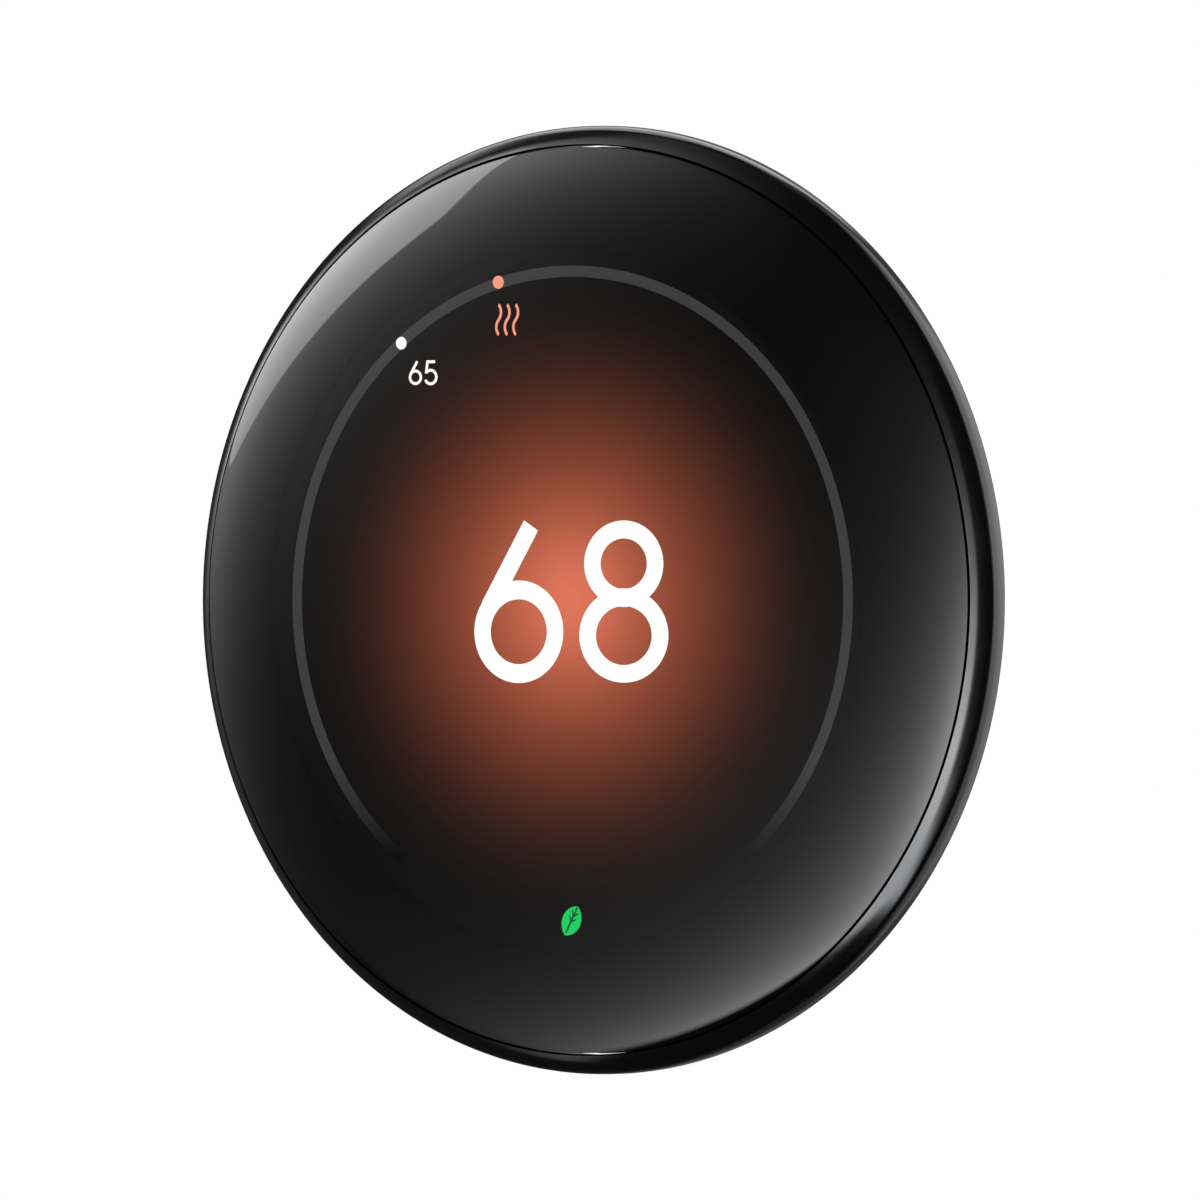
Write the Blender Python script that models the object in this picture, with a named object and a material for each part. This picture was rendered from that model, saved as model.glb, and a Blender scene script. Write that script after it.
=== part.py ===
"""A round wall thermostat with a domed glass face and a turning metal ring.

The thermostat is two units. The base is fixed to the wall and holds the wire terminals. The head
plugs onto the base: its rear half holds the electronics, and its front half, the face, carries the
lens, the display and the ring. The ring turns without limit, and the whole face presses in against
three springs to work a click switch.

Frame: the origin is the centre of the base on the wall. +X is to the right, +Z is up and +Y goes
into the wall, so the front looks along -Y. "front" in this file is the distance in front of the
wall, which is -Y. Sizes are in metres.
"""

import math

import bmesh
import bpy
from mathutils import Matrix, Vector

mm = 0.001

# ---------------------------------------------------------------- driving sizes

RING_DIAMETER = 84 * mm
DOME_HEIGHT = 6.5 * mm

ROUND_STEPS = 48
SMALL_STEPS = 12
SMALL_START_ANGLE = 7
SEAT_GAP = 0.15 * mm
LOOSE_GAP = 0.3 * mm
RUNNING_GAP = 0.3 * mm
BOOLEAN_OVERLAP = 0.4 * mm
MERGE_DISTANCE = 0.001 * mm

# The ring: a round-nosed hoop with a short straight side.
RING_THICKNESS = 1.7 * mm
RING_CORNER = 1.6 * mm
RING_STRAIGHT = 1.2 * mm
RING_ARC_STEPS = 4
RING_RADIUS = RING_DIAMETER / 2
RING_BORE = RING_RADIUS - RING_THICKNESS

# The lens: a domed shell whose edge stands a little above the ring's front.
LENS_RING_GAP = 0.2 * mm
LENS_THICKNESS = 1.1 * mm
LENS_SEAT_WIDTH = 1.3 * mm
LENS_EDGE_BAND = 0.45 * mm
LENS_OVER_RING = 0.15 * mm
DOME_FULLNESS = 2.4
DOME_ROLL = 0.7
DOME_STEPS = 9
LENS_RADIUS = RING_BORE - LENS_RING_GAP
LENS_INNER_RADIUS = LENS_RADIUS - LENS_SEAT_WIDTH
LENS_INNER_HEIGHT = DOME_HEIGHT + LENS_EDGE_BAND - LENS_THICKNESS
FLANGE_SIDE_GAP = 0.2 * mm
FLANGE_WIDTH = 3.9 * mm
RETAINER_LIP = 0.8 * mm
FLANGE_RADIUS = LENS_RADIUS - FLANGE_SIDE_GAP
CHASSIS_BORE = FLANGE_RADIUS - FLANGE_WIDTH

# The base, counted forward from the wall.
BASE_INSET = 11.8 * mm
BASE_WALL = 1.6 * mm
BASE_FLOOR = 1.8 * mm
BOARD_THICKNESS = 1.0 * mm
BASE_BOARD_STANDOFF = 0.4 * mm
BLOCK_HEIGHT = 5.9 * mm
COVER_THICKNESS = 1.0 * mm
BASE_RADIUS = RING_RADIUS - BASE_INSET
BASE_BORE = BASE_RADIUS - BASE_WALL
BASE_BOARD_REAR = BASE_FLOOR + BASE_BOARD_STANDOFF
BASE_BOARD_FRONT = BASE_BOARD_REAR + BOARD_THICKNESS
BLOCK_REAR = BASE_BOARD_FRONT + LOOSE_GAP
BLOCK_FRONT = BLOCK_REAR + BLOCK_HEIGHT
COVER_REAR = BLOCK_FRONT + LOOSE_GAP
COVER_FRONT = COVER_REAR + COVER_THICKNESS
COVER_SIDE_GAP = 0.2 * mm
COVER_RADIUS = BASE_BORE - COVER_SIDE_GAP

# What else sits in the base.
WIRE_OPENING_BELOW_SCREW = 1.65 * mm
WIRE_OPENING_BOTTOM = -12 * mm
WIRE_OPENING_SIDE_GAP = 3.6 * mm
WIRE_OPENING_CORNER = 3 * mm
WALL_SLOT_WIDTH = 3.9 * mm
WALL_SLOT_LENGTH = 5.6 * mm
WALL_SCREW_HEAD = 3.6 * mm
WALL_SCREW_INSET = 4.1 * mm
WALL_SCREW_ANGLE = 54.6
SOCKET_LENGTH = 19 * mm
SOCKET_WIDTH = 6.4 * mm
SOCKET_WALL = 1.5 * mm
SOCKET_FLOOR = 1.5 * mm
SOCKET_INSET = 7.6 * mm
VIAL_RADIUS = 2.2 * mm
VIAL_LENGTH = 13 * mm
VIAL_INSET = 6.1 * mm
COVER_SCREW_HEAD = 1.7 * mm
COVER_SCREW_SHANK = 0.8 * mm
COVER_SCREW_HEAD_HEIGHT = 0.6 * mm
COVER_BOSS = 1.75 * mm
COVER_SCREW_INSET = 2.7 * mm
SCREW_BELOW_VIAL = 1.15 * mm
SOCKET_CENTRE = -(BASE_BORE - SOCKET_INSET)
VIAL_CENTRE = BASE_BORE - VIAL_INSET
TOP_SCREW_HEIGHT = VIAL_CENTRE - VIAL_RADIUS - SCREW_BELOW_VIAL - COVER_BOSS
WIRE_OPENING_TOP = TOP_SCREW_HEIGHT - COVER_BOSS - WIRE_OPENING_BELOW_SCREW

# The wire terminals, in a column on each side of the wire opening.
TERMINAL_COUNT = 6
TERMINAL_PITCH = 4.5 * mm
BLOCK_WIDTH = 10 * mm
BLOCK_END_WALL = 0.9 * mm
BLOCK_HALF_LENGTH = TERMINAL_COUNT * TERMINAL_PITCH / 2 + BLOCK_END_WALL
BLOCK_CORNER_GAP = 1.2 * mm
TAB_TRAVEL = 1.5 * mm
TAB_LENGTH = 5.6 * mm
TAB_SPACING = 1.8 * mm
TAB_WIDTH = TERMINAL_PITCH - TAB_SPACING
TAB_FROM_OUTER = 1.2 * mm
TAB_PROUD = 0.3 * mm
TAB_SIDE_GAP = 0.2 * mm
POCKET_DEPTH = 3.4 * mm
WIRE_HOLE = 1.0 * mm
WIRE_HOLE_DEPTH = 3.4 * mm
CONTACT_BAR = 0.4 * mm
CONTACT_CLIP_HEIGHT = 1.5 * mm
CONTACT_CLIP_WIDTH = 2.0 * mm
CONTACT_WIDTH = 3.6 * mm
BLOCK_CORNER_REACH = math.sqrt(BASE_BORE**2 - BLOCK_HALF_LENGTH**2) - BLOCK_CORNER_GAP
BLOCK_SCREW_REACH = BASE_BORE - COVER_SCREW_INSET - COVER_BOSS - LOOSE_GAP
BLOCK_OUTER = min(BLOCK_CORNER_REACH, BLOCK_SCREW_REACH)
BLOCK_INNER = BLOCK_OUTER - BLOCK_WIDTH
TAB_FRONT = COVER_FRONT + TAB_PROUD
TAB_REAR = BLOCK_FRONT - POCKET_DEPTH + TAB_TRAVEL + LOOSE_GAP

# The head's rear half.
HEAD_BASE_GAP = 0.9 * mm
SKIRT_GAP = 0.4 * mm
SKIRT_WALL = 1.8 * mm
SKIRT_REAR = 4.6 * mm
PARTITION_THICKNESS = 1.2 * mm
COVER_WALL = 1.5 * mm
COVER_BULGE = 0.55 * mm
COVER_ARC_STEPS = 4
COVER_FRONT_INSET = 2.8 * mm
VENT_COUNT = 7
VENT_SPACING = 7
VENT_WIDTH = 1.4 * mm
VENT_LENGTH = 4.5 * mm
PARTITION_REAR = COVER_FRONT + HEAD_BASE_GAP
PARTITION_FRONT = PARTITION_REAR + PARTITION_THICKNESS
SKIRT_BORE = BASE_RADIUS + SKIRT_GAP
SKIRT_RADIUS = SKIRT_BORE + SKIRT_WALL
HEAD_EDGE_RADIUS = RING_RADIUS - COVER_FRONT_INSET

# The electronics in the head.
MAIN_BOARD_STANDOFF = 1.8 * mm
MAIN_BOARD_REAR = PARTITION_FRONT + MAIN_BOARD_STANDOFF
MAIN_BOARD_FRONT = MAIN_BOARD_REAR + BOARD_THICKNESS
MAIN_BOARD_SIDE_GAP = 0.7 * mm
MAIN_BOARD_RADIUS = CHASSIS_BORE - RETAINER_LIP - MAIN_BOARD_SIDE_GAP
BATTERY_LENGTH = 34 * mm
BATTERY_WIDTH = 22 * mm
BATTERY_THICKNESS = 3.8 * mm
BATTERY_PLUG_MARGIN = 1.7 * mm
BATTERY_CORNER = 1.2 * mm
BOARD_PART_GAP = 0.1 * mm
BATTERY_PLUG_LENGTH = 4 * mm
BATTERY_PLUG_WIDTH = 3 * mm
BATTERY_PLUG_HEIGHT = 1.4 * mm
LEAD_RADIUS = 0.45 * mm
SHIELD_HEIGHT = 1.4 * mm
SHIELD_SHEET = 0.25 * mm
SHIELD_TOP = 7 * mm
SHIELD_BOTTOM = -9 * mm
USB_LENGTH = 9 * mm
USB_WIDTH = 3.2 * mm
USB_DEPTH = 5.4 * mm
USB_SHEET = 0.35 * mm
USB_ABOVE_SWITCH = 3.0 * mm
PLUG_END_GAP = 0.4 * mm
PLUG_TONGUE_LENGTH = SOCKET_LENGTH - 2 * SOCKET_WALL - 2 * PLUG_END_GAP
PLUG_TONGUE_WIDTH = SOCKET_WIDTH - 2 * SOCKET_WALL - 2 * LOOSE_GAP
PLUG_FLANGE_MARGIN = 1.1 * mm
SOUNDER_RADIUS = 6 * mm
SOUNDER_HEIGHT = 1.2 * mm
SOUNDER_PLACE = (-13 * mm, 21 * mm)
CLIMATE_SENSOR_SIZE = (3 * mm, 3 * mm)
CLIMATE_SENSOR_HEIGHT = 0.9 * mm
CLIMATE_SENSOR_SIDE = 8.6 * mm
SWITCH_SIDE = 5 * mm
SWITCH_HEIGHT = 1.2 * mm
SWITCH_ABOVE_BATTERY = 2.7 * mm
BUTTON_RADIUS = 1.1 * mm
BUTTON_PROUD = 0.7 * mm
BUTTON_HEIGHT = 1.0 * mm
NUB_RADIUS = 1.3 * mm
BOARD_SCREW_HEAD = 1.5 * mm
BOARD_SCREW_HEAD_HEIGHT = 0.6 * mm
BOARD_SCREW_SHANK = 0.7 * mm
BOARD_BOSS = 1.8 * mm
BOARD_SCREW_INSET = 4.2 * mm
BOARD_SCREW_ANGLES = (30, 150, 276)

# The parts stand one above the other up the middle of the board, from the plug.
BATTERY_BOTTOM = SOCKET_CENTRE + PLUG_TONGUE_WIDTH / 2 + PLUG_FLANGE_MARGIN + BATTERY_PLUG_MARGIN
BATTERY_TOP = BATTERY_BOTTOM + BATTERY_WIDTH
SWITCH_CENTRE = BATTERY_TOP + SWITCH_ABOVE_BATTERY + SWITCH_SIDE / 2
USB_CENTRE = SWITCH_CENTRE + SWITCH_SIDE / 2 + USB_ABOVE_SWITCH + USB_WIDTH / 2
TALLEST_ON_BOARD = max(SHIELD_HEIGHT, BATTERY_PLUG_HEIGHT, SWITCH_HEIGHT, SOUNDER_HEIGHT)
BATTERY_FRONT = PARTITION_FRONT + SEAT_GAP + BATTERY_THICKNESS
TALLEST_PART = max(MAIN_BOARD_FRONT + BOARD_PART_GAP + TALLEST_ON_BOARD, BATTERY_FRONT)

# The display stack, counted forward from the chassis floor, which has to clear the parts on the
# main board when the face is pressed in.
PRESS_TRAVEL = 0.6 * mm
PRESS_CLEARANCE = 0.47 * mm
CHASSIS_FLOOR = 1.0 * mm
DISPLAY_INSET = 7.3 * mm
PANEL_THICKNESS = 1.2 * mm
BACKLIGHT_THICKNESS = 1.3 * mm
TRAY_SHEET = 0.3 * mm
TRAY_RIM_HEIGHT = 1.9 * mm
DISPLAY_LENS_GAP = 0.33 * mm
PANEL_RADIUS = LENS_RADIUS - DISPLAY_INSET
TRAY_RADIUS = PANEL_RADIUS + SEAT_GAP + TRAY_SHEET
FLOOR_REAR = TALLEST_PART + PRESS_TRAVEL + PRESS_CLEARANCE
FLOOR_FRONT = FLOOR_REAR + CHASSIS_FLOOR
TRAY_REAR = FLOOR_FRONT + SEAT_GAP
TRAY_FLOOR = TRAY_REAR + TRAY_SHEET
BACKLIGHT_REAR = TRAY_FLOOR + SEAT_GAP
BACKLIGHT_FRONT = BACKLIGHT_REAR + BACKLIGHT_THICKNESS
PANEL_REAR = BACKLIGHT_FRONT + SEAT_GAP
PANEL_FRONT = PANEL_REAR + PANEL_THICKNESS


def dome_rise(radius, rim, height):
    """How far a dome has risen from its rim at a radius: a flat crown that rolls over at the edge."""
    return height * (1 - (radius / rim) ** DOME_FULLNESS) ** DOME_ROLL


# The lens stands on the display: its inside just clears the panel's edge.
PANEL_IN_LENS = dome_rise(PANEL_RADIUS, LENS_INNER_RADIUS, LENS_INNER_HEIGHT) - DISPLAY_LENS_GAP
LENS_BOTTOM = PANEL_FRONT - PANEL_IN_LENS
LENS_EDGE = LENS_BOTTOM + LENS_EDGE_BAND
TOTAL_DEPTH = LENS_EDGE + DOME_HEIGHT
RING_FRONT = LENS_EDGE - LENS_OVER_RING
RING_MIDDLE = RING_FRONT - RING_CORNER - RING_STRAIGHT / 2
RING_REAR = RING_MIDDLE - RING_STRAIGHT / 2 - RING_CORNER

# The front chassis: its lens flange, and the wall that the ring runs on.
FLANGE_THICKNESS = 1.15 * mm
BEARING_WALL = 1.4 * mm
TAPE_THICKNESS = 0.2 * mm
TAPE_GAP = 0.05 * mm
GLIDE_THICKNESS = 0.35 * mm
GLIDE_SIDE_GAP = 0.2 * mm
CARRIER_RUNNING_GAP = 0.4 * mm
CARRIER_NOTCHES = 48
CARRIER_NOTCH_DEPTH = 0.5 * mm
CARRIER_NOTCH_WIDTH = 1.6 * mm
RETAINER_THICKNESS = 0.75 * mm
RETAINER_SKIRT = 1.75 * mm
RETAINER_SKIRT_WALL = 1.0 * mm
FLANGE_FRONT = LENS_BOTTOM - TAPE_THICKNESS - 2 * TAPE_GAP
FLANGE_REAR = FLANGE_FRONT - FLANGE_THICKNESS
BEARING_RADIUS = CHASSIS_BORE + BEARING_WALL
CARRIER_RADIUS = RING_BORE - SEAT_GAP
CARRIER_BORE = BEARING_RADIUS + CARRIER_RUNNING_GAP
GLIDE_FRONT = FLANGE_REAR - SEAT_GAP
GLIDE_REAR = GLIDE_FRONT - GLIDE_THICKNESS
CARRIER_FRONT = GLIDE_REAR - SEAT_GAP
CARRIER_REAR = RING_REAR - SEAT_GAP
RETAINER_FRONT = CARRIER_REAR - RUNNING_GAP
RETAINER_REAR = RETAINER_FRONT - RETAINER_THICKNESS
BEARING_END = RETAINER_FRONT + SEAT_GAP

# The rear cover's front edge, which the ring's retainer must clear when the face is pressed in.
HEAD_EDGE = RETAINER_REAR - PRESS_TRAVEL - LOOSE_GAP

# What guides the face when it is pressed.
GUIDE_COUNT = 3
GUIDE_FIRST_ANGLE = 90
GUIDE_INSET = 6.6 * mm
GUIDE_RADIUS = CHASSIS_BORE - GUIDE_INSET
BOSS_RADIUS = 2.2 * mm
GUIDE_HOLE = BOSS_RADIUS + RUNNING_GAP
SCREW_HEAD_RADIUS = 3.1 * mm
SCREW_HEAD_HEIGHT = 0.75 * mm
SCREW_SHANK = 1.0 * mm
CUP_WALL = 0.8 * mm
CUP_FLOOR = 0.6 * mm
CUP_BORE = SCREW_HEAD_RADIUS + LOOSE_GAP
SCREW_HEAD_FRONT = TRAY_REAR - PRESS_TRAVEL - LOOSE_GAP
SCREW_HEAD_REAR = SCREW_HEAD_FRONT - SCREW_HEAD_HEIGHT
CUP_FLOOR_FRONT = SCREW_HEAD_REAR - SEAT_GAP
CUP_FLOOR_REAR = CUP_FLOOR_FRONT - CUP_FLOOR
BOSS_FRONT = SCREW_HEAD_REAR - SEAT_GAP
SPRING_WIRE = 0.2 * mm
SPRING_TURNS = 3
SPRING_POINTS_PER_TURN = 9

# Sensors and the flex cable on the face.
ENCODER_LENGTH = 4 * mm
ENCODER_HEIGHT = 1.6 * mm
ENCODER_DEPTH = 2.2 * mm
ENCODER_ANGLE = 225
FLEX_WIDTH = 6 * mm
FLEX_THICKNESS = 0.25 * mm
FLEX_SIDE = -3 * mm

# ---------------------------------------------------------------- scene and materials


def clear_scene():
    for found in list(bpy.data.objects):
        bpy.data.objects.remove(found)


def material(name, colour, roughness, metallic=0.0):
    made = bpy.data.materials.new(name)
    made.use_nodes = True
    shader = made.node_tree.nodes["Principled BSDF"]
    shader.inputs["Base Color"].default_value = (*colour, 1)
    shader.inputs["Roughness"].default_value = roughness
    shader.inputs["Metallic"].default_value = metallic
    made.diffuse_color = (*colour, 1)
    return made


clear_scene()

DARK_METAL = material("polished_dark_metal", (0.06, 0.06, 0.065), 0.12, 1.0)
BLACK_GLASS = material("black_glass", (0.005, 0.005, 0.006), 0.03)
DISPLAY_BLACK = material("display_black", (0.01, 0.008, 0.007), 0.2)
DIFFUSER_WHITE = material("diffuser_white", (0.85, 0.85, 0.82), 0.5)
SHEET_STEEL = material("sheet_steel", (0.55, 0.56, 0.57), 0.35, 1.0)
SCREW_STEEL = material("screw_steel", (0.45, 0.46, 0.47), 0.3, 1.0)
SPRING_STEEL = material("spring_steel", (0.6, 0.6, 0.6), 0.25, 1.0)
BLACK_PLASTIC = material("black_plastic", (0.02, 0.02, 0.021), 0.5)
DARK_PLASTIC = material("dark_grey_plastic", (0.05, 0.05, 0.052), 0.5)
SLIDE_PLASTIC = material("slide_plastic", (0.8, 0.8, 0.78), 0.4)
WHITE_PLASTIC = material("white_plastic", (0.82, 0.82, 0.8), 0.45)
TAB_GREY = material("tab_grey", (0.35, 0.36, 0.37), 0.45)
BOARD_GREEN = material("circuit_board", (0.02, 0.12, 0.06), 0.4)
BATTERY_SILVER = material("battery_foil", (0.6, 0.6, 0.62), 0.4, 0.6)
LEAD_RED = material("lead_red", (0.6, 0.03, 0.02), 0.5)
FLEX_AMBER = material("flex_amber", (0.45, 0.2, 0.03), 0.4)
BRASS = material("brass", (0.7, 0.5, 0.22), 0.3, 1.0)
LEVEL_GREEN = material("level_liquid", (0.45, 0.8, 0.1), 0.1)
TAPE_BLACK = material("tape_black", (0.015, 0.015, 0.015), 0.7)

# ---------------------------------------------------------------- shape helpers


def around(count, first_angle, radius):
    """(x, z) places on a circle about the thermostat's axis, angles counted from +X."""
    places = []
    for index in range(count):
        angle = math.radians(first_angle + index * 360 / count)
        places.append((radius * math.cos(angle), radius * math.sin(angle)))
    return places


def at_angle(angle, radius):
    return (radius * math.cos(math.radians(angle)), radius * math.sin(math.radians(angle)))


def arc(centre, radius, start, end, steps):
    """Profile points on an arc. Angles are in degrees from the radial direction to the front."""
    points = []
    for step in range(steps + 1):
        angle = math.radians(start + (end - start) * step / steps)
        points.append((centre[0] + radius * math.cos(angle), centre[1] + radius * math.sin(angle)))
    return points


def rounded_outline(x_range, z_range, corner, corner_steps=3):
    """The outline of a rectangle with round corners, as (x, z) points."""
    centres = (
        (x_range[1] - corner, z_range[1] - corner, 0),
        (x_range[0] + corner, z_range[1] - corner, 90),
        (x_range[0] + corner, z_range[0] + corner, 180),
        (x_range[1] - corner, z_range[0] + corner, 270),
    )
    outline = []
    for x, z, start in centres:
        outline += arc((x, z), corner, start, start + 90, corner_steps)
    return outline


def add_turned(bm, profile, place=(0.0, 0.0), steps=ROUND_STEPS):
    """Adds a solid turned about a line along Y. The profile holds (radius, front) points: an open
    chain from the axis back to the axis, or a closed outline that stays clear of it. A small shape
    starts a few degrees round, so its corners miss the edges of what it is cut from."""
    x, z = place
    start = math.radians(SMALL_START_ANGLE if steps == SMALL_STEPS else 0)
    chain = []
    for radius, front in profile:
        chain.append(bm.verts.new((x + radius * math.cos(start), -front, z + radius * math.sin(start))))
    edges = [bm.edges.new(pair) for pair in zip(chain, chain[1:])]
    if profile[0][0] > 0:
        edges.append(bm.edges.new((chain[-1], chain[0])))
    bmesh.ops.spin(
        bm,
        geom=chain + edges,
        cent=(x, 0, z),
        axis=(0, 1, 0),
        angle=2 * math.pi,
        steps=steps,
        use_merge=True,
    )


def add_disc(bm, radius, rear, front, place=(0.0, 0.0), steps=SMALL_STEPS):
    add_turned(bm, [(0, rear), (radius, rear), (radius, front), (0, front)], place, steps)


def add_tube(bm, bore, radius, rear, front, place=(0.0, 0.0), steps=ROUND_STEPS):
    add_turned(bm, [(bore, rear), (radius, rear), (radius, front), (bore, front)], place, steps)


def add_outline(bm, outline, rear, front):
    """Adds a plate with an outline of (x, z) points between two distances from the wall."""
    face = bm.faces.new([bm.verts.new((x, -rear, z)) for x, z in outline])
    grown = bmesh.ops.extrude_face_region(bm, geom=[face])
    moved = [item for item in grown["geom"] if isinstance(item, bmesh.types.BMVert)]
    bmesh.ops.translate(bm, verts=moved, vec=(0, rear - front, 0))


def add_box(bm, x_range, z_range, rear, front, turn=0.0):
    """Adds a box, turned about the thermostat's axis by an angle in degrees."""
    middle = Vector(((x_range[0] + x_range[1]) / 2, -(rear + front) / 2, sum(z_range) / 2))
    size = (x_range[1] - x_range[0], front - rear, z_range[1] - z_range[0])
    place = Matrix.Translation(middle) @ Matrix.Diagonal((*size, 1))
    bmesh.ops.create_cube(bm, size=1, matrix=Matrix.Rotation(math.radians(-turn), 4, "Y") @ place)


def make_object(name, bm, finish, parent=None, place=(0.0, 0.0, 0.0)):
    """Turns a bmesh into an object. Its mesh is drawn about its own place."""
    bmesh.ops.remove_doubles(bm, verts=bm.verts, dist=MERGE_DISTANCE)
    bmesh.ops.recalc_face_normals(bm, faces=bm.faces)
    mesh = bpy.data.meshes.new(name)
    bm.to_mesh(mesh)
    bm.free()
    return object_from_mesh(name, mesh, finish, parent, place)


def object_from_mesh(name, mesh, finish, parent=None, place=(0.0, 0.0, 0.0)):
    made = bpy.data.objects.new(name, mesh)
    bpy.context.scene.collection.objects.link(made)
    if finish is not None and not mesh.materials:
        mesh.materials.append(finish)
    mesh.shade_smooth()
    mesh.set_sharp_from_angle(angle=math.radians(35))
    made.location = place
    made.parent = parent
    return made


def boolean(target, bm, operation, name):
    """Cuts a shape from an object, or joins it on. The helper stays in the file, out of renders."""
    helper = make_object(f"{name}_{operation.lower()}", bm, None)
    helper.hide_render = True
    helper.display_type = "WIRE"
    step = target.modifiers.new(name, "BOOLEAN")
    step.operation = operation
    step.object = helper
    step.solver = "EXACT"


def body_empty(name, parent=None):
    empty = bpy.data.objects.new(name, None)
    bpy.context.scene.collection.objects.link(empty)
    empty.parent = parent
    return empty


# Each empty stands for a rigid body, on the axis of its joint, which is the thermostat's axis.
base_body = body_empty("base_body")
head_body = body_empty("head_body", base_body)
face_body = body_empty("face_body", head_body)
ring_body = body_empty("ring_body", face_body)

# ---------------------------------------------------------------- the ring


def control_ring():
    side = RING_STRAIGHT / 2
    centre = RING_RADIUS - RING_CORNER
    front_corner = arc((centre, RING_MIDDLE + side), RING_CORNER, 90, 0, RING_ARC_STEPS)
    rear_corner = arc((centre, RING_MIDDLE - side), RING_CORNER, 0, -90, RING_ARC_STEPS)
    profile = [(RING_BORE, RING_FRONT), *front_corner, *rear_corner, (RING_BORE, RING_REAR)]
    bm = bmesh.new()
    add_turned(bm, profile)
    make_object("control_ring", bm, DARK_METAL, ring_body)


def ring_carrier():
    """The plastic ring glued inside the metal one. Its notches are read by the encoder sensor."""
    bm = bmesh.new()
    add_tube(bm, CARRIER_BORE, CARRIER_RADIUS, CARRIER_REAR, CARRIER_FRONT)
    carrier = make_object("ring_carrier", bm, DARK_PLASTIC, ring_body)
    notches = bmesh.new()
    half = CARRIER_NOTCH_WIDTH / 2
    for index in range(CARRIER_NOTCHES):
        add_box(
            notches,
            (CARRIER_BORE - CARRIER_NOTCH_DEPTH, CARRIER_BORE + CARRIER_NOTCH_DEPTH),
            (-half, half),
            CARRIER_REAR - BOOLEAN_OVERLAP,
            CARRIER_REAR + (CARRIER_FRONT - CARRIER_REAR) / 2,
            turn=(index + 0.5) * 360 / CARRIER_NOTCHES,
        )
    boolean(carrier, notches, "DIFFERENCE", "carrier_notches")


# ---------------------------------------------------------------- the face


def dome_profile(radius, height, bottom, steps):
    """Points of a dome from its edge to its top."""
    points = []
    for step in range(steps):
        out = radius * math.cos(math.pi / 2 * step / steps)
        points.append((out, bottom + dome_rise(out, radius, height)))
    return [*points, (0, bottom + height)]


def lens_glass():
    outer = dome_profile(LENS_RADIUS, DOME_HEIGHT, LENS_EDGE, DOME_STEPS)
    inner = dome_profile(LENS_INNER_RADIUS, LENS_INNER_HEIGHT, LENS_BOTTOM, DOME_STEPS - 1)
    bm = bmesh.new()
    add_turned(bm, [*outer[::-1], (LENS_RADIUS, LENS_BOTTOM), *inner])
    make_object("lens_glass", bm, BLACK_GLASS, face_body)


def lens_tape():
    """The ring of black tape that bonds the lens to the chassis."""
    bm = bmesh.new()
    front = LENS_BOTTOM - TAPE_GAP
    add_tube(bm, LENS_RADIUS - LENS_SEAT_WIDTH, FLANGE_RADIUS, front - TAPE_THICKNESS, front)
    make_object("lens_tape", bm, TAPE_BLACK, face_body)


def display_panel():
    bm = bmesh.new()
    add_disc(bm, PANEL_RADIUS, PANEL_REAR, PANEL_FRONT, steps=ROUND_STEPS)
    make_object("display_panel", bm, DISPLAY_BLACK, face_body)


def backlight():
    bm = bmesh.new()
    add_disc(bm, PANEL_RADIUS, BACKLIGHT_REAR, BACKLIGHT_FRONT, steps=ROUND_STEPS)
    make_object("backlight", bm, DIFFUSER_WHITE, face_body)


def display_tray():
    """The pressed steel dish that holds the panel and its backlight."""
    rim = TRAY_REAR + TRAY_RIM_HEIGHT
    bore = TRAY_RADIUS - TRAY_SHEET
    bm = bmesh.new()
    profile = [(0, TRAY_REAR), (TRAY_RADIUS, TRAY_REAR), (TRAY_RADIUS, rim), (bore, rim)]
    add_turned(bm, [*profile, (bore, TRAY_FLOOR), (0, TRAY_FLOOR)])
    make_object("display_tray", bm, SHEET_STEEL, face_body)


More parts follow.
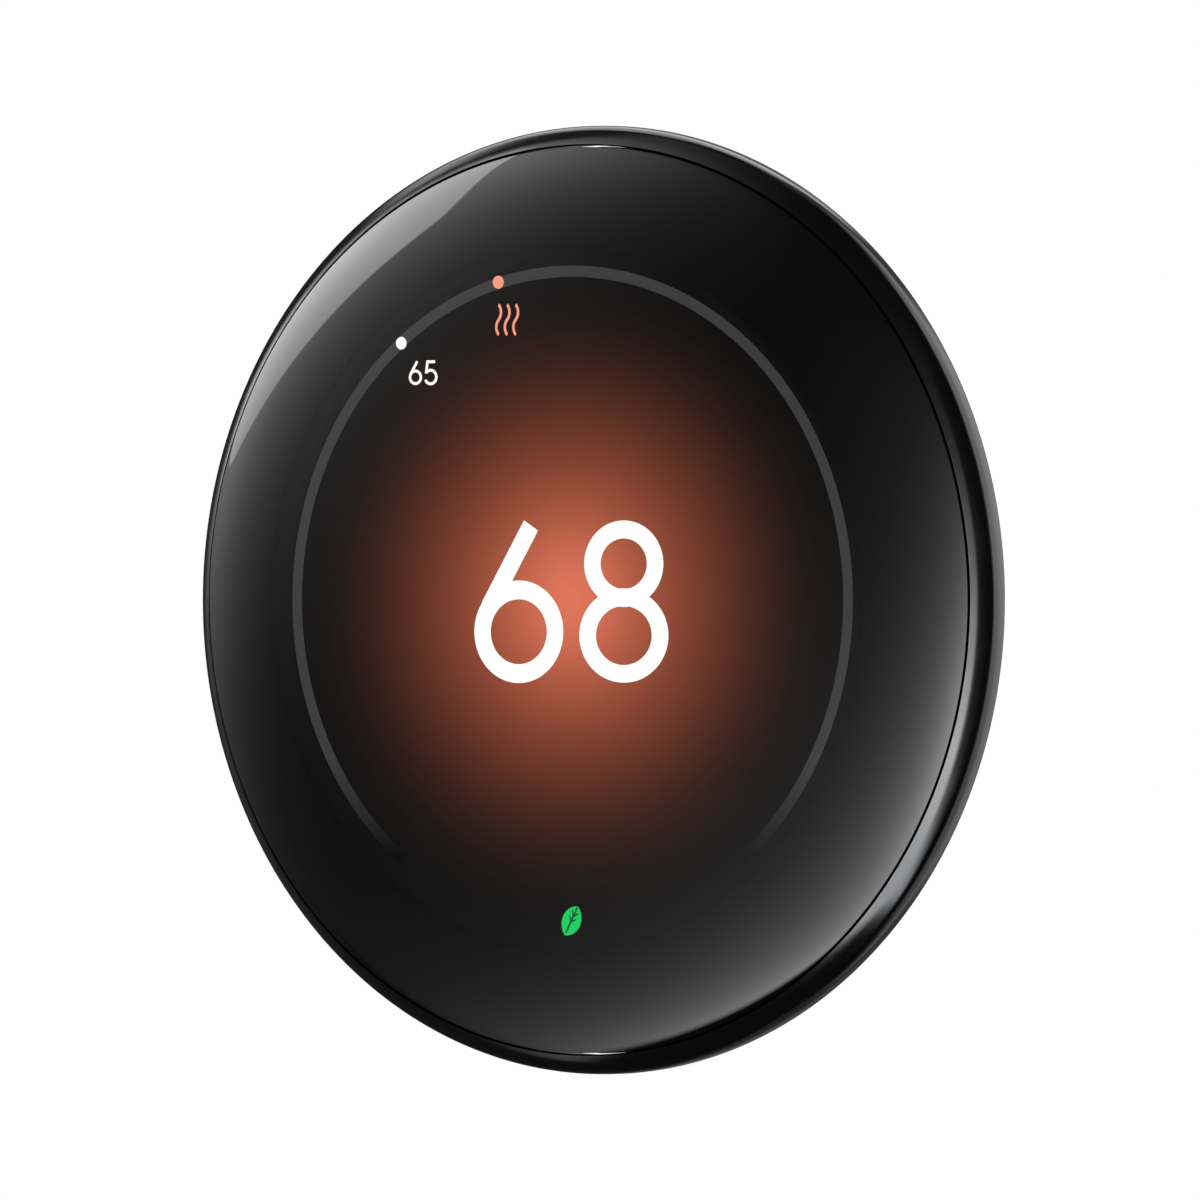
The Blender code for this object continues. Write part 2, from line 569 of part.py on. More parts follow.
def front_chassis():
    """The moulding that everything on the face is fixed to."""
    profile = [
        (0, FLOOR_REAR),
        (CHASSIS_BORE, FLOOR_REAR),
        (CHASSIS_BORE, BEARING_END),
        (BEARING_RADIUS, BEARING_END),
        (BEARING_RADIUS, FLANGE_REAR),
        (FLANGE_RADIUS, FLANGE_REAR),
        (FLANGE_RADIUS, FLANGE_FRONT),
        (CHASSIS_BORE, FLANGE_FRONT),
        (CHASSIS_BORE - SEAT_GAP, FLOOR_FRONT),
        (0, FLOOR_FRONT),
    ]
    bm = bmesh.new()
    add_turned(bm, profile)
    chassis = make_object("front_chassis", bm, BLACK_PLASTIC, face_body)

    added = bmesh.new()
    for place in around(GUIDE_COUNT, GUIDE_FIRST_ANGLE, GUIDE_RADIUS):
        add_disc(added, CUP_BORE + CUP_WALL, CUP_FLOOR_REAR, FLOOR_FRONT - SEAT_GAP, place)
    nub_rear = MAIN_BOARD_FRONT + BOARD_PART_GAP + SWITCH_HEIGHT + BUTTON_PROUD + SEAT_GAP
    add_disc(added, NUB_RADIUS, nub_rear, FLOOR_FRONT - SEAT_GAP, (0, SWITCH_CENTRE))
    boolean(chassis, added, "UNION", "chassis_cups")

    wells = bmesh.new()
    for place in around(GUIDE_COUNT, GUIDE_FIRST_ANGLE, GUIDE_RADIUS):
        add_disc(wells, CUP_BORE, CUP_FLOOR_FRONT, FLOOR_FRONT + BOOLEAN_OVERLAP, place)
    flex_slot = FLEX_THICKNESS + 2 * LOOSE_GAP
    slot_half = FLEX_WIDTH / 2 + LOOSE_GAP
    slot_z = flex_drop() - LOOSE_GAP
    add_box(
        wells,
        (FLEX_SIDE - slot_half, FLEX_SIDE + slot_half),
        (slot_z, slot_z + flex_slot),
        FLOOR_REAR - BOOLEAN_OVERLAP,
        FLOOR_FRONT + BOOLEAN_OVERLAP,
    )
    half = ENCODER_LENGTH / 2 + LOOSE_GAP
    add_box(
        wells,
        (CHASSIS_BORE - BEARING_WALL, BEARING_RADIUS + BEARING_WALL),
        (-half, half),
        BEARING_END - BOOLEAN_OVERLAP,
        BEARING_END + ENCODER_HEIGHT + LOOSE_GAP,
        turn=ENCODER_ANGLE,
    )
    boolean(chassis, wells, "DIFFERENCE", "chassis_wells")

    holes = bmesh.new()
    for place in around(GUIDE_COUNT, GUIDE_FIRST_ANGLE, GUIDE_RADIUS):
        add_disc(holes, GUIDE_HOLE, CUP_FLOOR_REAR - BOOLEAN_OVERLAP, FLOOR_REAR, place)
    boolean(chassis, holes, "DIFFERENCE", "chassis_guide_holes")


def glide_ring():
    """A thin slippery ring between the chassis flange and the turning carrier."""
    bm = bmesh.new()
    bore = BEARING_RADIUS + GLIDE_SIDE_GAP
    add_tube(bm, bore, FLANGE_RADIUS - GLIDE_SIDE_GAP, GLIDE_REAR, GLIDE_FRONT)
    make_object("glide_ring", bm, SLIDE_PLASTIC, face_body)


def ring_retainer():
    """The ring behind the carrier that keeps the metal ring on the chassis. Its short skirt runs
    inside the rear cover's edge and closes the gap that the face needs to travel."""
    bore = CHASSIS_BORE - RETAINER_LIP
    radius = CARRIER_RADIUS - SEAT_GAP - GLIDE_SIDE_GAP
    skirt_rear = RETAINER_REAR - RETAINER_SKIRT
    skirt_radius = bore + RETAINER_SKIRT_WALL
    profile = [
        (bore, skirt_rear),
        (skirt_radius, skirt_rear),
        (skirt_radius, RETAINER_REAR),
        (radius, RETAINER_REAR),
        (radius, RETAINER_FRONT),
        (bore, RETAINER_FRONT),
    ]
    bm = bmesh.new()
    add_turned(bm, profile)
    make_object("ring_retainer", bm, BLACK_PLASTIC, face_body)


def encoder_sensor():
    bm = bmesh.new()
    half = ENCODER_LENGTH / 2
    outer = BEARING_RADIUS - SEAT_GAP
    rear = BEARING_END + SEAT_GAP
    x_range = (outer - ENCODER_DEPTH, outer)
    add_box(bm, x_range, (-half, half), rear, rear + ENCODER_HEIGHT - SEAT_GAP, turn=ENCODER_ANGLE)
    make_object("encoder_sensor", bm, DARK_PLASTIC, face_body)


def flex_drop():
    """The height at which the flex cable's vertical run passes the chassis floor."""
    edge = math.sqrt(TRAY_RADIUS**2 - (abs(FLEX_SIDE) - FLEX_WIDTH / 2) ** 2)
    return -(edge + LOOSE_GAP + FLEX_THICKNESS)


def display_flex():
    """The flat cable from the display's edge, through the chassis floor, to the main board."""
    outer = flex_drop()
    inner = outer + FLEX_THICKNESS
    front = PANEL_REAR
    rear = MAIN_BOARD_FRONT + SEAT_GAP
    foot = math.sqrt(MAIN_BOARD_RADIUS**2 - (abs(FLEX_SIDE) + FLEX_WIDTH / 2) ** 2) - 4 * mm
    outline = [
        (outer, rear),
        (outer, front),
        (inner, front),
        (inner, rear + FLEX_THICKNESS),
        (-foot, rear + FLEX_THICKNESS),
        (-foot, rear),
    ]
    bm = bmesh.new()
    left = FLEX_SIDE - FLEX_WIDTH / 2
    face = bm.faces.new([bm.verts.new((left, -forward, z)) for z, forward in outline])
    grown = bmesh.ops.extrude_face_region(bm, geom=[face])
    moved = [item for item in grown["geom"] if isinstance(item, bmesh.types.BMVert)]
    bmesh.ops.translate(bm, verts=moved, vec=(FLEX_WIDTH, 0, 0))
    make_object("display_flex", bm, FLEX_AMBER, face_body)


# ---------------------------------------------------------------- the head's rear half


def cover_curve(inset):
    """The rear cover's curved side from its skirt to its front edge, moved in by a wall."""
    start = Vector((SKIRT_RADIUS, SKIRT_REAR))
    end = Vector((HEAD_EDGE_RADIUS, HEAD_EDGE))
    along = (end - start).normalized()
    outward = Vector((along.y, -along.x))
    points = []
    for step in range(COVER_ARC_STEPS + 1):
        share = step / COVER_ARC_STEPS
        bulge = 4 * COVER_BULGE * share * (1 - share)
        points.append(tuple(start.lerp(end, share) + outward * (bulge - inset)))
    return points


def board_screw_places():
    radius = MAIN_BOARD_RADIUS - BOARD_SCREW_INSET
    return [at_angle(angle, radius) for angle in BOARD_SCREW_ANGLES]


def rear_cover():
    """The bowl behind the ring. Its partition closes the head, and its skirt hides the base."""
    outer = cover_curve(0)
    inner = [point for point in cover_curve(COVER_WALL) if point[0] > SKIRT_RADIUS + COVER_WALL / 2]
    inner[-1] = (HEAD_EDGE_RADIUS - COVER_WALL, HEAD_EDGE)
    pocket = (SKIRT_RADIUS, inner[0][1])
    profile = [
        (0, PARTITION_REAR),
        (SKIRT_BORE, PARTITION_REAR),
        (SKIRT_BORE, SKIRT_REAR),
        *outer,
        *inner[::-1],
        pocket,
        (SKIRT_RADIUS, PARTITION_FRONT),
        (0, PARTITION_FRONT),
    ]
    bm = bmesh.new()
    add_turned(bm, profile)
    cover = make_object("rear_cover", bm, BLACK_PLASTIC, head_body)

    bosses = bmesh.new()
    foot = PARTITION_FRONT - PARTITION_THICKNESS / 2
    for place in around(GUIDE_COUNT, GUIDE_FIRST_ANGLE, GUIDE_RADIUS):
        add_disc(bosses, BOSS_RADIUS, foot, BOSS_FRONT, place)
    for place in board_screw_places():
        add_disc(bosses, BOARD_BOSS, foot, MAIN_BOARD_REAR - BOARD_PART_GAP, place)
    boolean(cover, bosses, "UNION", "cover_bosses")

    cuts = bmesh.new()
    for place in around(GUIDE_COUNT, GUIDE_FIRST_ANGLE, GUIDE_RADIUS):
        add_disc(cuts, SCREW_SHANK + LOOSE_GAP, PARTITION_FRONT, BOSS_FRONT + BOOLEAN_OVERLAP, place)
    for place in board_screw_places():
        add_disc(cuts, BOARD_SCREW_SHANK + SEAT_GAP, PARTITION_FRONT, MAIN_BOARD_REAR, place)
    add_box(cuts, *plug_opening(), PARTITION_REAR - BOOLEAN_OVERLAP, PARTITION_FRONT + BOOLEAN_OVERLAP)
    add_box(cuts, *usb_opening(), PARTITION_REAR - BOOLEAN_OVERLAP, PARTITION_FRONT + BOOLEAN_OVERLAP)
    middle = cover_curve(COVER_WALL / 2)[COVER_ARC_STEPS * 2 // 3]
    for index in range(VENT_COUNT):
        angle = -90 + (index - (VENT_COUNT - 1) / 2) * VENT_SPACING
        add_box(
            cuts,
            (middle[0] - VENT_LENGTH / 2, middle[0] + VENT_LENGTH / 2),
            (-VENT_WIDTH / 2, VENT_WIDTH / 2),
            middle[1] - VENT_WIDTH / 2,
            middle[1] + VENT_WIDTH / 2,
            turn=angle,
        )
    boolean(cover, cuts, "DIFFERENCE", "cover_cuts")


def plug_opening():
    half_length = PLUG_TONGUE_LENGTH / 2 + LOOSE_GAP
    half_width = PLUG_TONGUE_WIDTH / 2 + LOOSE_GAP
    z_range = (SOCKET_CENTRE - half_width, SOCKET_CENTRE + half_width)
    return (-half_length, half_length), z_range


def usb_opening():
    half_length = USB_LENGTH / 2 + LOOSE_GAP
    half_width = USB_WIDTH / 2 + LOOSE_GAP
    return (-half_length, half_length), (USB_CENTRE - half_width, USB_CENTRE + half_width)


def battery_box():
    half = BATTERY_LENGTH / 2
    return (-half, half), (BATTERY_BOTTOM, BATTERY_TOP)


def main_board():
    bm = bmesh.new()
    add_disc(bm, MAIN_BOARD_RADIUS, MAIN_BOARD_REAR, MAIN_BOARD_FRONT, steps=ROUND_STEPS)
    board = make_object("main_board", bm, BOARD_GREEN, head_body)
    rear, front = MAIN_BOARD_REAR - BOOLEAN_OVERLAP, MAIN_BOARD_FRONT + BOOLEAN_OVERLAP
    cuts = bmesh.new()
    for place in around(GUIDE_COUNT, GUIDE_FIRST_ANGLE, GUIDE_RADIUS):
        add_disc(cuts, spring_radius() + SPRING_WIRE + LOOSE_GAP, rear, front, place)
    for place in board_screw_places():
        add_disc(cuts, BOARD_SCREW_SHANK + SEAT_GAP, rear, front, place)
    (left, right), (low, high) = battery_box()
    add_box(cuts, (left - LOOSE_GAP, right + LOOSE_GAP), (low - LOOSE_GAP, high + LOOSE_GAP), rear, front)
    (left, right), (low, high) = usb_opening()
    add_box(cuts, (left, right), (low, high), rear, front)
    boolean(board, cuts, "DIFFERENCE", "main_board_cuts")


def battery():
    bm = bmesh.new()
    rear = PARTITION_FRONT + SEAT_GAP
    add_outline(bm, rounded_outline(*battery_box(), BATTERY_CORNER), rear, rear + BATTERY_THICKNESS)
    make_object("battery", bm, BATTERY_SILVER, head_body)


def battery_plug_place():
    _, (_, high) = battery_box()
    return (BATTERY_LENGTH / 2 - BATTERY_PLUG_LENGTH, high + 3.4 * mm)


def battery_plug():
    x, z = battery_plug_place()
    bm = bmesh.new()
    rear = MAIN_BOARD_FRONT + BOARD_PART_GAP
    half_length, half_width = BATTERY_PLUG_LENGTH / 2, BATTERY_PLUG_WIDTH / 2
    z_range = (z - half_width, z + half_width)
    add_box(bm, (x - half_length, x + half_length), z_range, rear, rear + BATTERY_PLUG_HEIGHT)
    make_object("battery_plug", bm, WHITE_PLASTIC, head_body)


def battery_lead():
    """The battery's sleeved lead, which runs from the top of the cell to its plug."""
    x, z = battery_plug_place()
    _, (_, high) = battery_box()
    start = Vector((x - 5 * mm, 0, high + SEAT_GAP))
    end = Vector((x - BATTERY_PLUG_LENGTH / 2 - SEAT_GAP, 0, z))
    curve = bpy.data.curves.new("battery_lead", "CURVE")
    curve.dimensions = "3D"
    curve.bevel_depth = LEAD_RADIUS
    curve.bevel_resolution = 2
    curve.use_fill_caps = True
    spline = curve.splines.new("POLY")
    steps = 8
    spline.points.add(steps)
    level = -(MAIN_BOARD_FRONT + BOARD_PART_GAP + LEAD_RADIUS + SEAT_GAP)
    for step in range(steps + 1):
        turn = math.pi / 2 * step / steps
        point_x = start.x + (end.x - start.x) * (1 - math.cos(turn))
        point_z = start.z + (end.z - start.z) * math.sin(turn)
        spline.points[step].co = (point_x, level, point_z, 1)
    lead = bpy.data.objects.new("battery_lead", curve)
    bpy.context.scene.collection.objects.link(lead)
    curve.materials.append(LEAD_RED)
    lead.parent = head_body


def shield(name, side):
    """A pressed shield can, open towards the board, on the +X or the -X side of the battery."""
    inner = BATTERY_LENGTH / 2 + 1.6 * mm
    outer = math.sqrt(MAIN_BOARD_RADIUS**2 - max(SHIELD_TOP, -SHIELD_BOTTOM) ** 2) - 1.6 * mm
    x_range = sorted((side * inner, side * outer))
    rear = MAIN_BOARD_FRONT + BOARD_PART_GAP
    bm = bmesh.new()
    add_box(bm, x_range, (SHIELD_BOTTOM, SHIELD_TOP), rear, rear + SHIELD_HEIGHT)
    can = make_object(name, bm, SHEET_STEEL, head_body)
    hollow = bmesh.new()
    add_box(
        hollow,
        (x_range[0] + SHIELD_SHEET, x_range[1] - SHIELD_SHEET),
        (SHIELD_BOTTOM + SHIELD_SHEET, SHIELD_TOP - SHIELD_SHEET),
        rear - BOOLEAN_OVERLAP,
        rear + SHIELD_HEIGHT - SHIELD_SHEET,
    )
    boolean(can, hollow, "DIFFERENCE", f"{name}_hollow")


def usb_c_port():
    """The charging socket, which looks out through the partition when the head is off the wall."""
    rear = PARTITION_REAR + SEAT_GAP
    front = rear + USB_DEPTH
    half, half_width = USB_LENGTH / 2, USB_WIDTH / 2
    z_range = (USB_CENTRE - half_width, USB_CENTRE + half_width)
    outline = rounded_outline((-half, half), z_range, half_width * 0.9)
    bm = bmesh.new()
    add_outline(bm, outline, rear, front)
    port = make_object("usb_c_port", bm, SHEET_STEEL, head_body)
    half -= USB_SHEET
    half_width -= USB_SHEET
    hollow = bmesh.new()
    z_range = (USB_CENTRE - half_width, USB_CENTRE + half_width)
    inside = rounded_outline((-half, half), z_range, half_width * 0.9)
    add_outline(hollow, inside, rear - BOOLEAN_OVERLAP, front - 2 * USB_SHEET)
    boolean(port, hollow, "DIFFERENCE", "usb_hollow")
    tongue = bmesh.new()
    reach = half - 2 * USB_SHEET
    z_range = (USB_CENTRE - USB_SHEET, USB_CENTRE + USB_SHEET)
    add_box(tongue, (-reach, reach), z_range, rear + 2 * USB_SHEET, front - USB_SHEET)
    boolean(port, tongue, "UNION", "usb_tongue")


def head_plug():
    """The blade connector that carries power and signals from the base."""
    half_length, half_width = PLUG_TONGUE_LENGTH / 2, PLUG_TONGUE_WIDTH / 2
    socket_floor = BLOCK_REAR + SOCKET_FLOOR
    bm = bmesh.new()
    z_range = (SOCKET_CENTRE - half_width, SOCKET_CENTRE + half_width)
    shoulder = PARTITION_FRONT + SEAT_GAP
    flange_front = MAIN_BOARD_REAR - BOARD_PART_GAP
    add_box(bm, (-half_length, half_length), z_range, socket_floor + 2 * LOOSE_GAP, flange_front)
    plug = make_object("head_plug", bm, DARK_PLASTIC, head_body)
    flange = bmesh.new()
    reach = half_length + PLUG_FLANGE_MARGIN
    width = half_width + PLUG_FLANGE_MARGIN
    add_box(flange, (-reach, reach), (SOCKET_CENTRE - width, SOCKET_CENTRE + width), shoulder, flange_front)
    boolean(plug, flange, "UNION", "plug_flange")


def sounder():
    rear = MAIN_BOARD_FRONT + BOARD_PART_GAP
    bm = bmesh.new()
    profile = [
        (0, rear),
        (SOUNDER_RADIUS, rear),
        (SOUNDER_RADIUS, rear + SOUNDER_HEIGHT / 2),
        (SOUNDER_RADIUS * 0.8, rear + SOUNDER_HEIGHT),
        (0, rear + SOUNDER_HEIGHT),
    ]
    add_turned(bm, profile, SOUNDER_PLACE, SMALL_STEPS)
    make_object("sounder", bm, BRASS, head_body)


def climate_sensor():
    """The temperature and humidity chip, above the vents at the bottom of the board."""
    length, width = CLIMATE_SENSOR_SIZE
    bottom = -math.sqrt(MAIN_BOARD_RADIUS**2 - (CLIMATE_SENSOR_SIDE + length) ** 2) + 1 * mm
    rear = MAIN_BOARD_FRONT + BOARD_PART_GAP
    bm = bmesh.new()
    x_range = (CLIMATE_SENSOR_SIDE, CLIMATE_SENSOR_SIDE + length)
    add_box(bm, x_range, (bottom, bottom + width), rear, rear + CLIMATE_SENSOR_HEIGHT)
    make_object("climate_sensor", bm, WHITE_PLASTIC, head_body)


def click_switch():
    rear = MAIN_BOARD_FRONT + BOARD_PART_GAP
    front = rear + SWITCH_HEIGHT
    half = SWITCH_SIDE / 2
    bm = bmesh.new()
    add_box(bm, (-half, half), (SWITCH_CENTRE - half, SWITCH_CENTRE + half), rear, front)
    switch = make_object("click_switch", bm, DARK_PLASTIC, head_body)
    well = bmesh.new()
    well_floor = front + BUTTON_PROUD - BUTTON_HEIGHT - PRESS_TRAVEL - SEAT_GAP / 2
    add_disc(well, BUTTON_RADIUS + SEAT_GAP, well_floor, front + BOOLEAN_OVERLAP, (0, SWITCH_CENTRE))
    boolean(switch, well, "DIFFERENCE", "switch_well")

    button = bmesh.new()
    add_disc(button, BUTTON_RADIUS, 0, BUTTON_HEIGHT)
    button_rear = front + BUTTON_PROUD - BUTTON_HEIGHT
    make_object("click_button", button, WHITE_PLASTIC, head_body, (0, -button_rear, SWITCH_CENTRE))


def screw_mesh(name, head_radius, head_height, shank_radius, length, finish):
    """A cross-slot screw about its own axis, its head's underside at y = 0 and its shank at +Y."""
    bm = bmesh.new()
    profile = [
        (0, -length),
        (shank_radius * 0.6, -length),
        (shank_radius, -length * 0.85),
        (shank_radius, 0),
        (head_radius, 0),
        (head_radius, head_height * 0.7),
        (head_radius * 0.85, head_height),
        (0, head_height),
    ]
    add_turned(bm, profile, steps=SMALL_STEPS)
    bmesh.ops.remove_doubles(bm, verts=bm.verts, dist=MERGE_DISTANCE)
    bmesh.ops.recalc_face_normals(bm, faces=bm.faces)
    mesh = bpy.data.meshes.new(name)
    bm.to_mesh(mesh)
    bm.free()
    mesh.materials.append(finish)
    return mesh


def cross_slot(screw, head_radius, head_height, location):
    slot = bmesh.new()
    reach, half, depth = head_radius * 0.6, head_radius * 0.12, head_height * 0.5
    x, y, z = location
    floor, top = -y + head_height - depth, -y + head_height + BOOLEAN_OVERLAP
    add_box(slot, (x - reach, x + reach), (z - half, z + half), floor, top)
    boolean(screw, slot, "DIFFERENCE", f"{screw.name}_slot")
    other = bmesh.new()
    add_box(other, (x - half, x + half), (z - reach, z + reach), floor, top)
    boolean(screw, other, "DIFFERENCE", f"{screw.name}_cross")


def shoulder_screws():
    """The screws that hold the face on the rear cover and let it travel."""
    length = SCREW_HEAD_REAR - PARTITION_FRONT - LOOSE_GAP
    mesh = screw_mesh(
        "shoulder_screw", SCREW_HEAD_RADIUS, SCREW_HEAD_HEIGHT, SCREW_SHANK, length, SCREW_STEEL
    )
    for index, (x, z) in enumerate(around(GUIDE_COUNT, GUIDE_FIRST_ANGLE, GUIDE_RADIUS)):
        place = (x, -SCREW_HEAD_REAR, z)
        screw = object_from_mesh(f"shoulder_screw_{index + 1}", mesh, None, head_body, place)
        cross_slot(screw, SCREW_HEAD_RADIUS, SCREW_HEAD_HEIGHT, place)


def board_screws():
    seat = MAIN_BOARD_FRONT + BOARD_PART_GAP
    length = seat - PARTITION_FRONT - LOOSE_GAP
    mesh = screw_mesh(
        "board_screw", BOARD_SCREW_HEAD, BOARD_SCREW_HEAD_HEIGHT, BOARD_SCREW_SHANK, length, SCREW_STEEL
    )
    for index, (x, z) in enumerate(board_screw_places()):
        place = (x, -seat, z)
        object_from_mesh(f"board_screw_{index + 1}", mesh, None, head_body, place)


def spring_radius():
    return BOSS_RADIUS + RUNNING_GAP + SPRING_WIRE


def return_springs():
    """The three coil springs that push the face forward again."""
    low = PARTITION_FRONT + SEAT_GAP + SPRING_WIRE
    high = CUP_FLOOR_REAR - SEAT_GAP - SPRING_WIRE
    count = SPRING_TURNS * SPRING_POINTS_PER_TURN
    for index, (x, z) in enumerate(around(GUIDE_COUNT, GUIDE_FIRST_ANGLE, GUIDE_RADIUS)):
        name = f"return_spring_{index + 1}"
        curve = bpy.data.curves.new(name, "CURVE")
        curve.dimensions = "3D"
        curve.bevel_depth = SPRING_WIRE
        curve.bevel_resolution = 1
        curve.use_fill_caps = True
        spline = curve.splines.new("POLY")
        spline.points.add(count)
        for step in range(count + 1):
            turn = 2 * math.pi * step / SPRING_POINTS_PER_TURN
            rise = low + (high - low) * step / count
            radius = spring_radius()
            spline.points[step].co = (radius * math.cos(turn), -rise, radius * math.sin(turn), 1)
        curve.materials.append(SPRING_STEEL)
        spring = bpy.data.objects.new(name, curve)
        bpy.context.scene.collection.objects.link(spring)
        spring.location = (x, 0, z)
        spring.parent = head_body


# ---------------------------------------------------------------- the base on the wall


def mirrored(x_range, side):
    return sorted((side * x_range[0], side * x_range[1]))


def wire_opening_half_width():
    return BLOCK_INNER - WIRE_OPENING_SIDE_GAP


def wall_screw_places():
    right = at_angle(WALL_SCREW_ANGLE, BASE_BORE - WALL_SCREW_INSET)
    return [right, (-right[0], right[1])]


def cover_screw_places():
    side = BASE_BORE - COVER_SCREW_INSET
    return [(side, 0.0), (-side, 0.0), (0.0, TOP_SCREW_HEIGHT)]


def terminal_heights():
    first = -(TERMINAL_COUNT - 1) * TERMINAL_PITCH / 2
    return [first + index * TERMINAL_PITCH for index in range(TERMINAL_COUNT)]


def wire_opening_outline(half_width):
    z_range = (WIRE_OPENING_BOTTOM, WIRE_OPENING_TOP)
    return rounded_outline((-half_width, half_width), z_range, WIRE_OPENING_CORNER)


def base_plate():
    """The moulding screwed to the wall: a shallow dish with posts for what it carries."""
    profile = [
        (0, 0),
        (BASE_RADIUS, 0),
        (BASE_RADIUS, COVER_FRONT),
        (BASE_BORE, COVER_FRONT),
        (BASE_BORE, BASE_FLOOR),
        (0, BASE_FLOOR),
    ]
    bm = bmesh.new()
    add_turned(bm, profile)
    plate = make_object("base_plate", bm, WHITE_PLASTIC, base_body)

    posts = bmesh.new()
    foot = BASE_FLOOR / 2
    for place in cover_screw_places():
        add_disc(posts, COVER_BOSS, foot, COVER_REAR - SEAT_GAP, place)
    saddle_top = COVER_FRONT - 2 * VIAL_RADIUS - SEAT_GAP
    for side in (-1, 1):
        x_range = mirrored((VIAL_LENGTH / 2 - 2.5 * mm, VIAL_LENGTH / 2 - 1.3 * mm), side)
        z_range = (VIAL_CENTRE - VIAL_RADIUS / 2, VIAL_CENTRE + VIAL_RADIUS / 2)
        add_box(posts, x_range, z_range, foot, saddle_top)
    boolean(plate, posts, "UNION", "base_posts")

    cuts = bmesh.new()
    front = BASE_FLOOR + BOOLEAN_OVERLAP
    add_outline(cuts, wire_opening_outline(wire_opening_half_width()), -BOOLEAN_OVERLAP, front)
    half, end = WALL_SLOT_WIDTH / 2, WALL_SLOT_LENGTH / 2
    for x, z in wall_screw_places():
        slot = rounded_outline((x - end, x + end), (z - half, z + half), half * 0.98)
        add_outline(cuts, slot, -BOOLEAN_OVERLAP, front)
    for place in cover_screw_places():
        shaft = COVER_SCREW_SHANK + SEAT_GAP
        add_disc(cuts, shaft, BASE_FLOOR, COVER_REAR + BOOLEAN_OVERLAP, place)
    boolean(plate, cuts, "DIFFERENCE", "base_cuts")


def base_board():
    bm = bmesh.new()
    radius = BASE_BORE - 2 * LOOSE_GAP
    add_disc(bm, radius, BASE_BOARD_REAR, BASE_BOARD_FRONT, steps=ROUND_STEPS // 2)
    board = make_object("base_board", bm, BOARD_GREEN, base_body)
    rear, front = BASE_BOARD_REAR - BOOLEAN_OVERLAP, BASE_BOARD_FRONT + BOOLEAN_OVERLAP
    cuts = bmesh.new()
    add_outline(cuts, wire_opening_outline(wire_opening_half_width() + LOOSE_GAP), rear, front)
    for place in cover_screw_places():
        add_disc(cuts, COVER_BOSS + LOOSE_GAP, rear, front, place)
    for place in wall_screw_places():
        add_disc(cuts, WALL_SCREW_HEAD, rear, front, place)
    for side in (-1, 1):
        x_range = mirrored((VIAL_LENGTH / 2 - 2.9 * mm, VIAL_LENGTH / 2 - 0.9 * mm), side)
        reach = VIAL_RADIUS / 2 + LOOSE_GAP
        add_box(cuts, x_range, (VIAL_CENTRE - reach, VIAL_CENTRE + reach), rear, front)
    boolean(board, cuts, "DIFFERENCE", "base_board_cuts")


def terminal_block(name, side):
    """A moulding with one wire hole and one tab pocket for each terminal."""
    length = BLOCK_HALF_LENGTH
    bm = bmesh.new()
    add_box(bm, mirrored((BLOCK_INNER, BLOCK_OUTER), side), (-length, length), BLOCK_REAR, BLOCK_FRONT)
    block = make_object(name, bm, DARK_PLASTIC, base_body)
    cuts = bmesh.new()
    tab_outer = BLOCK_OUTER - TAB_FROM_OUTER + TAB_SIDE_GAP
    tab_inner = BLOCK_OUTER - TAB_FROM_OUTER - TAB_LENGTH - TAB_SIDE_GAP
    pocket_half = TAB_WIDTH / 2 + TAB_SIDE_GAP
    wire_level = BLOCK_REAR + CONTACT_BAR + WIRE_HOLE + LOOSE_GAP
    for z in terminal_heights():
        pocket_z = (z - pocket_half, z + pocket_half)
        pocket_floor = BLOCK_FRONT - POCKET_DEPTH
        front = BLOCK_FRONT + BOOLEAN_OVERLAP
        add_box(cuts, mirrored((tab_inner, tab_outer), side), pocket_z, pocket_floor, front)
        reach = mirrored((BLOCK_INNER - BOOLEAN_OVERLAP, BLOCK_INNER + WIRE_HOLE_DEPTH), side)
        middle = Vector((sum(reach) / 2, -wire_level, z))
        turned = Matrix.Translation(middle) @ Matrix.Rotation(math.pi / 2, 4, "Y")
        bmesh.ops.create_cone(
            cuts,
            cap_ends=True,
            segments=SMALL_STEPS // 2,
            radius1=WIRE_HOLE,
            radius2=WIRE_HOLE,
            depth=reach[1] - reach[0],
            matrix=turned,
        )
    channel = mirrored((contact_inner() - LOOSE_GAP, contact_inner() + CONTACT_WIDTH + LOOSE_GAP), side)
    channel_top = BLOCK_REAR + CONTACT_BAR + CONTACT_CLIP_HEIGHT + LOOSE_GAP
    channel_end = length - BLOCK_END_WALL
    add_box(cuts, channel, (-channel_end, channel_end), BLOCK_REAR - BOOLEAN_OVERLAP, channel_top)
    boolean(block, cuts, "DIFFERENCE", f"{name}_cuts")


def contact_inner():
    return BLOCK_INNER + WIRE_HOLE_DEPTH + LOOSE_GAP + 0.2 * mm


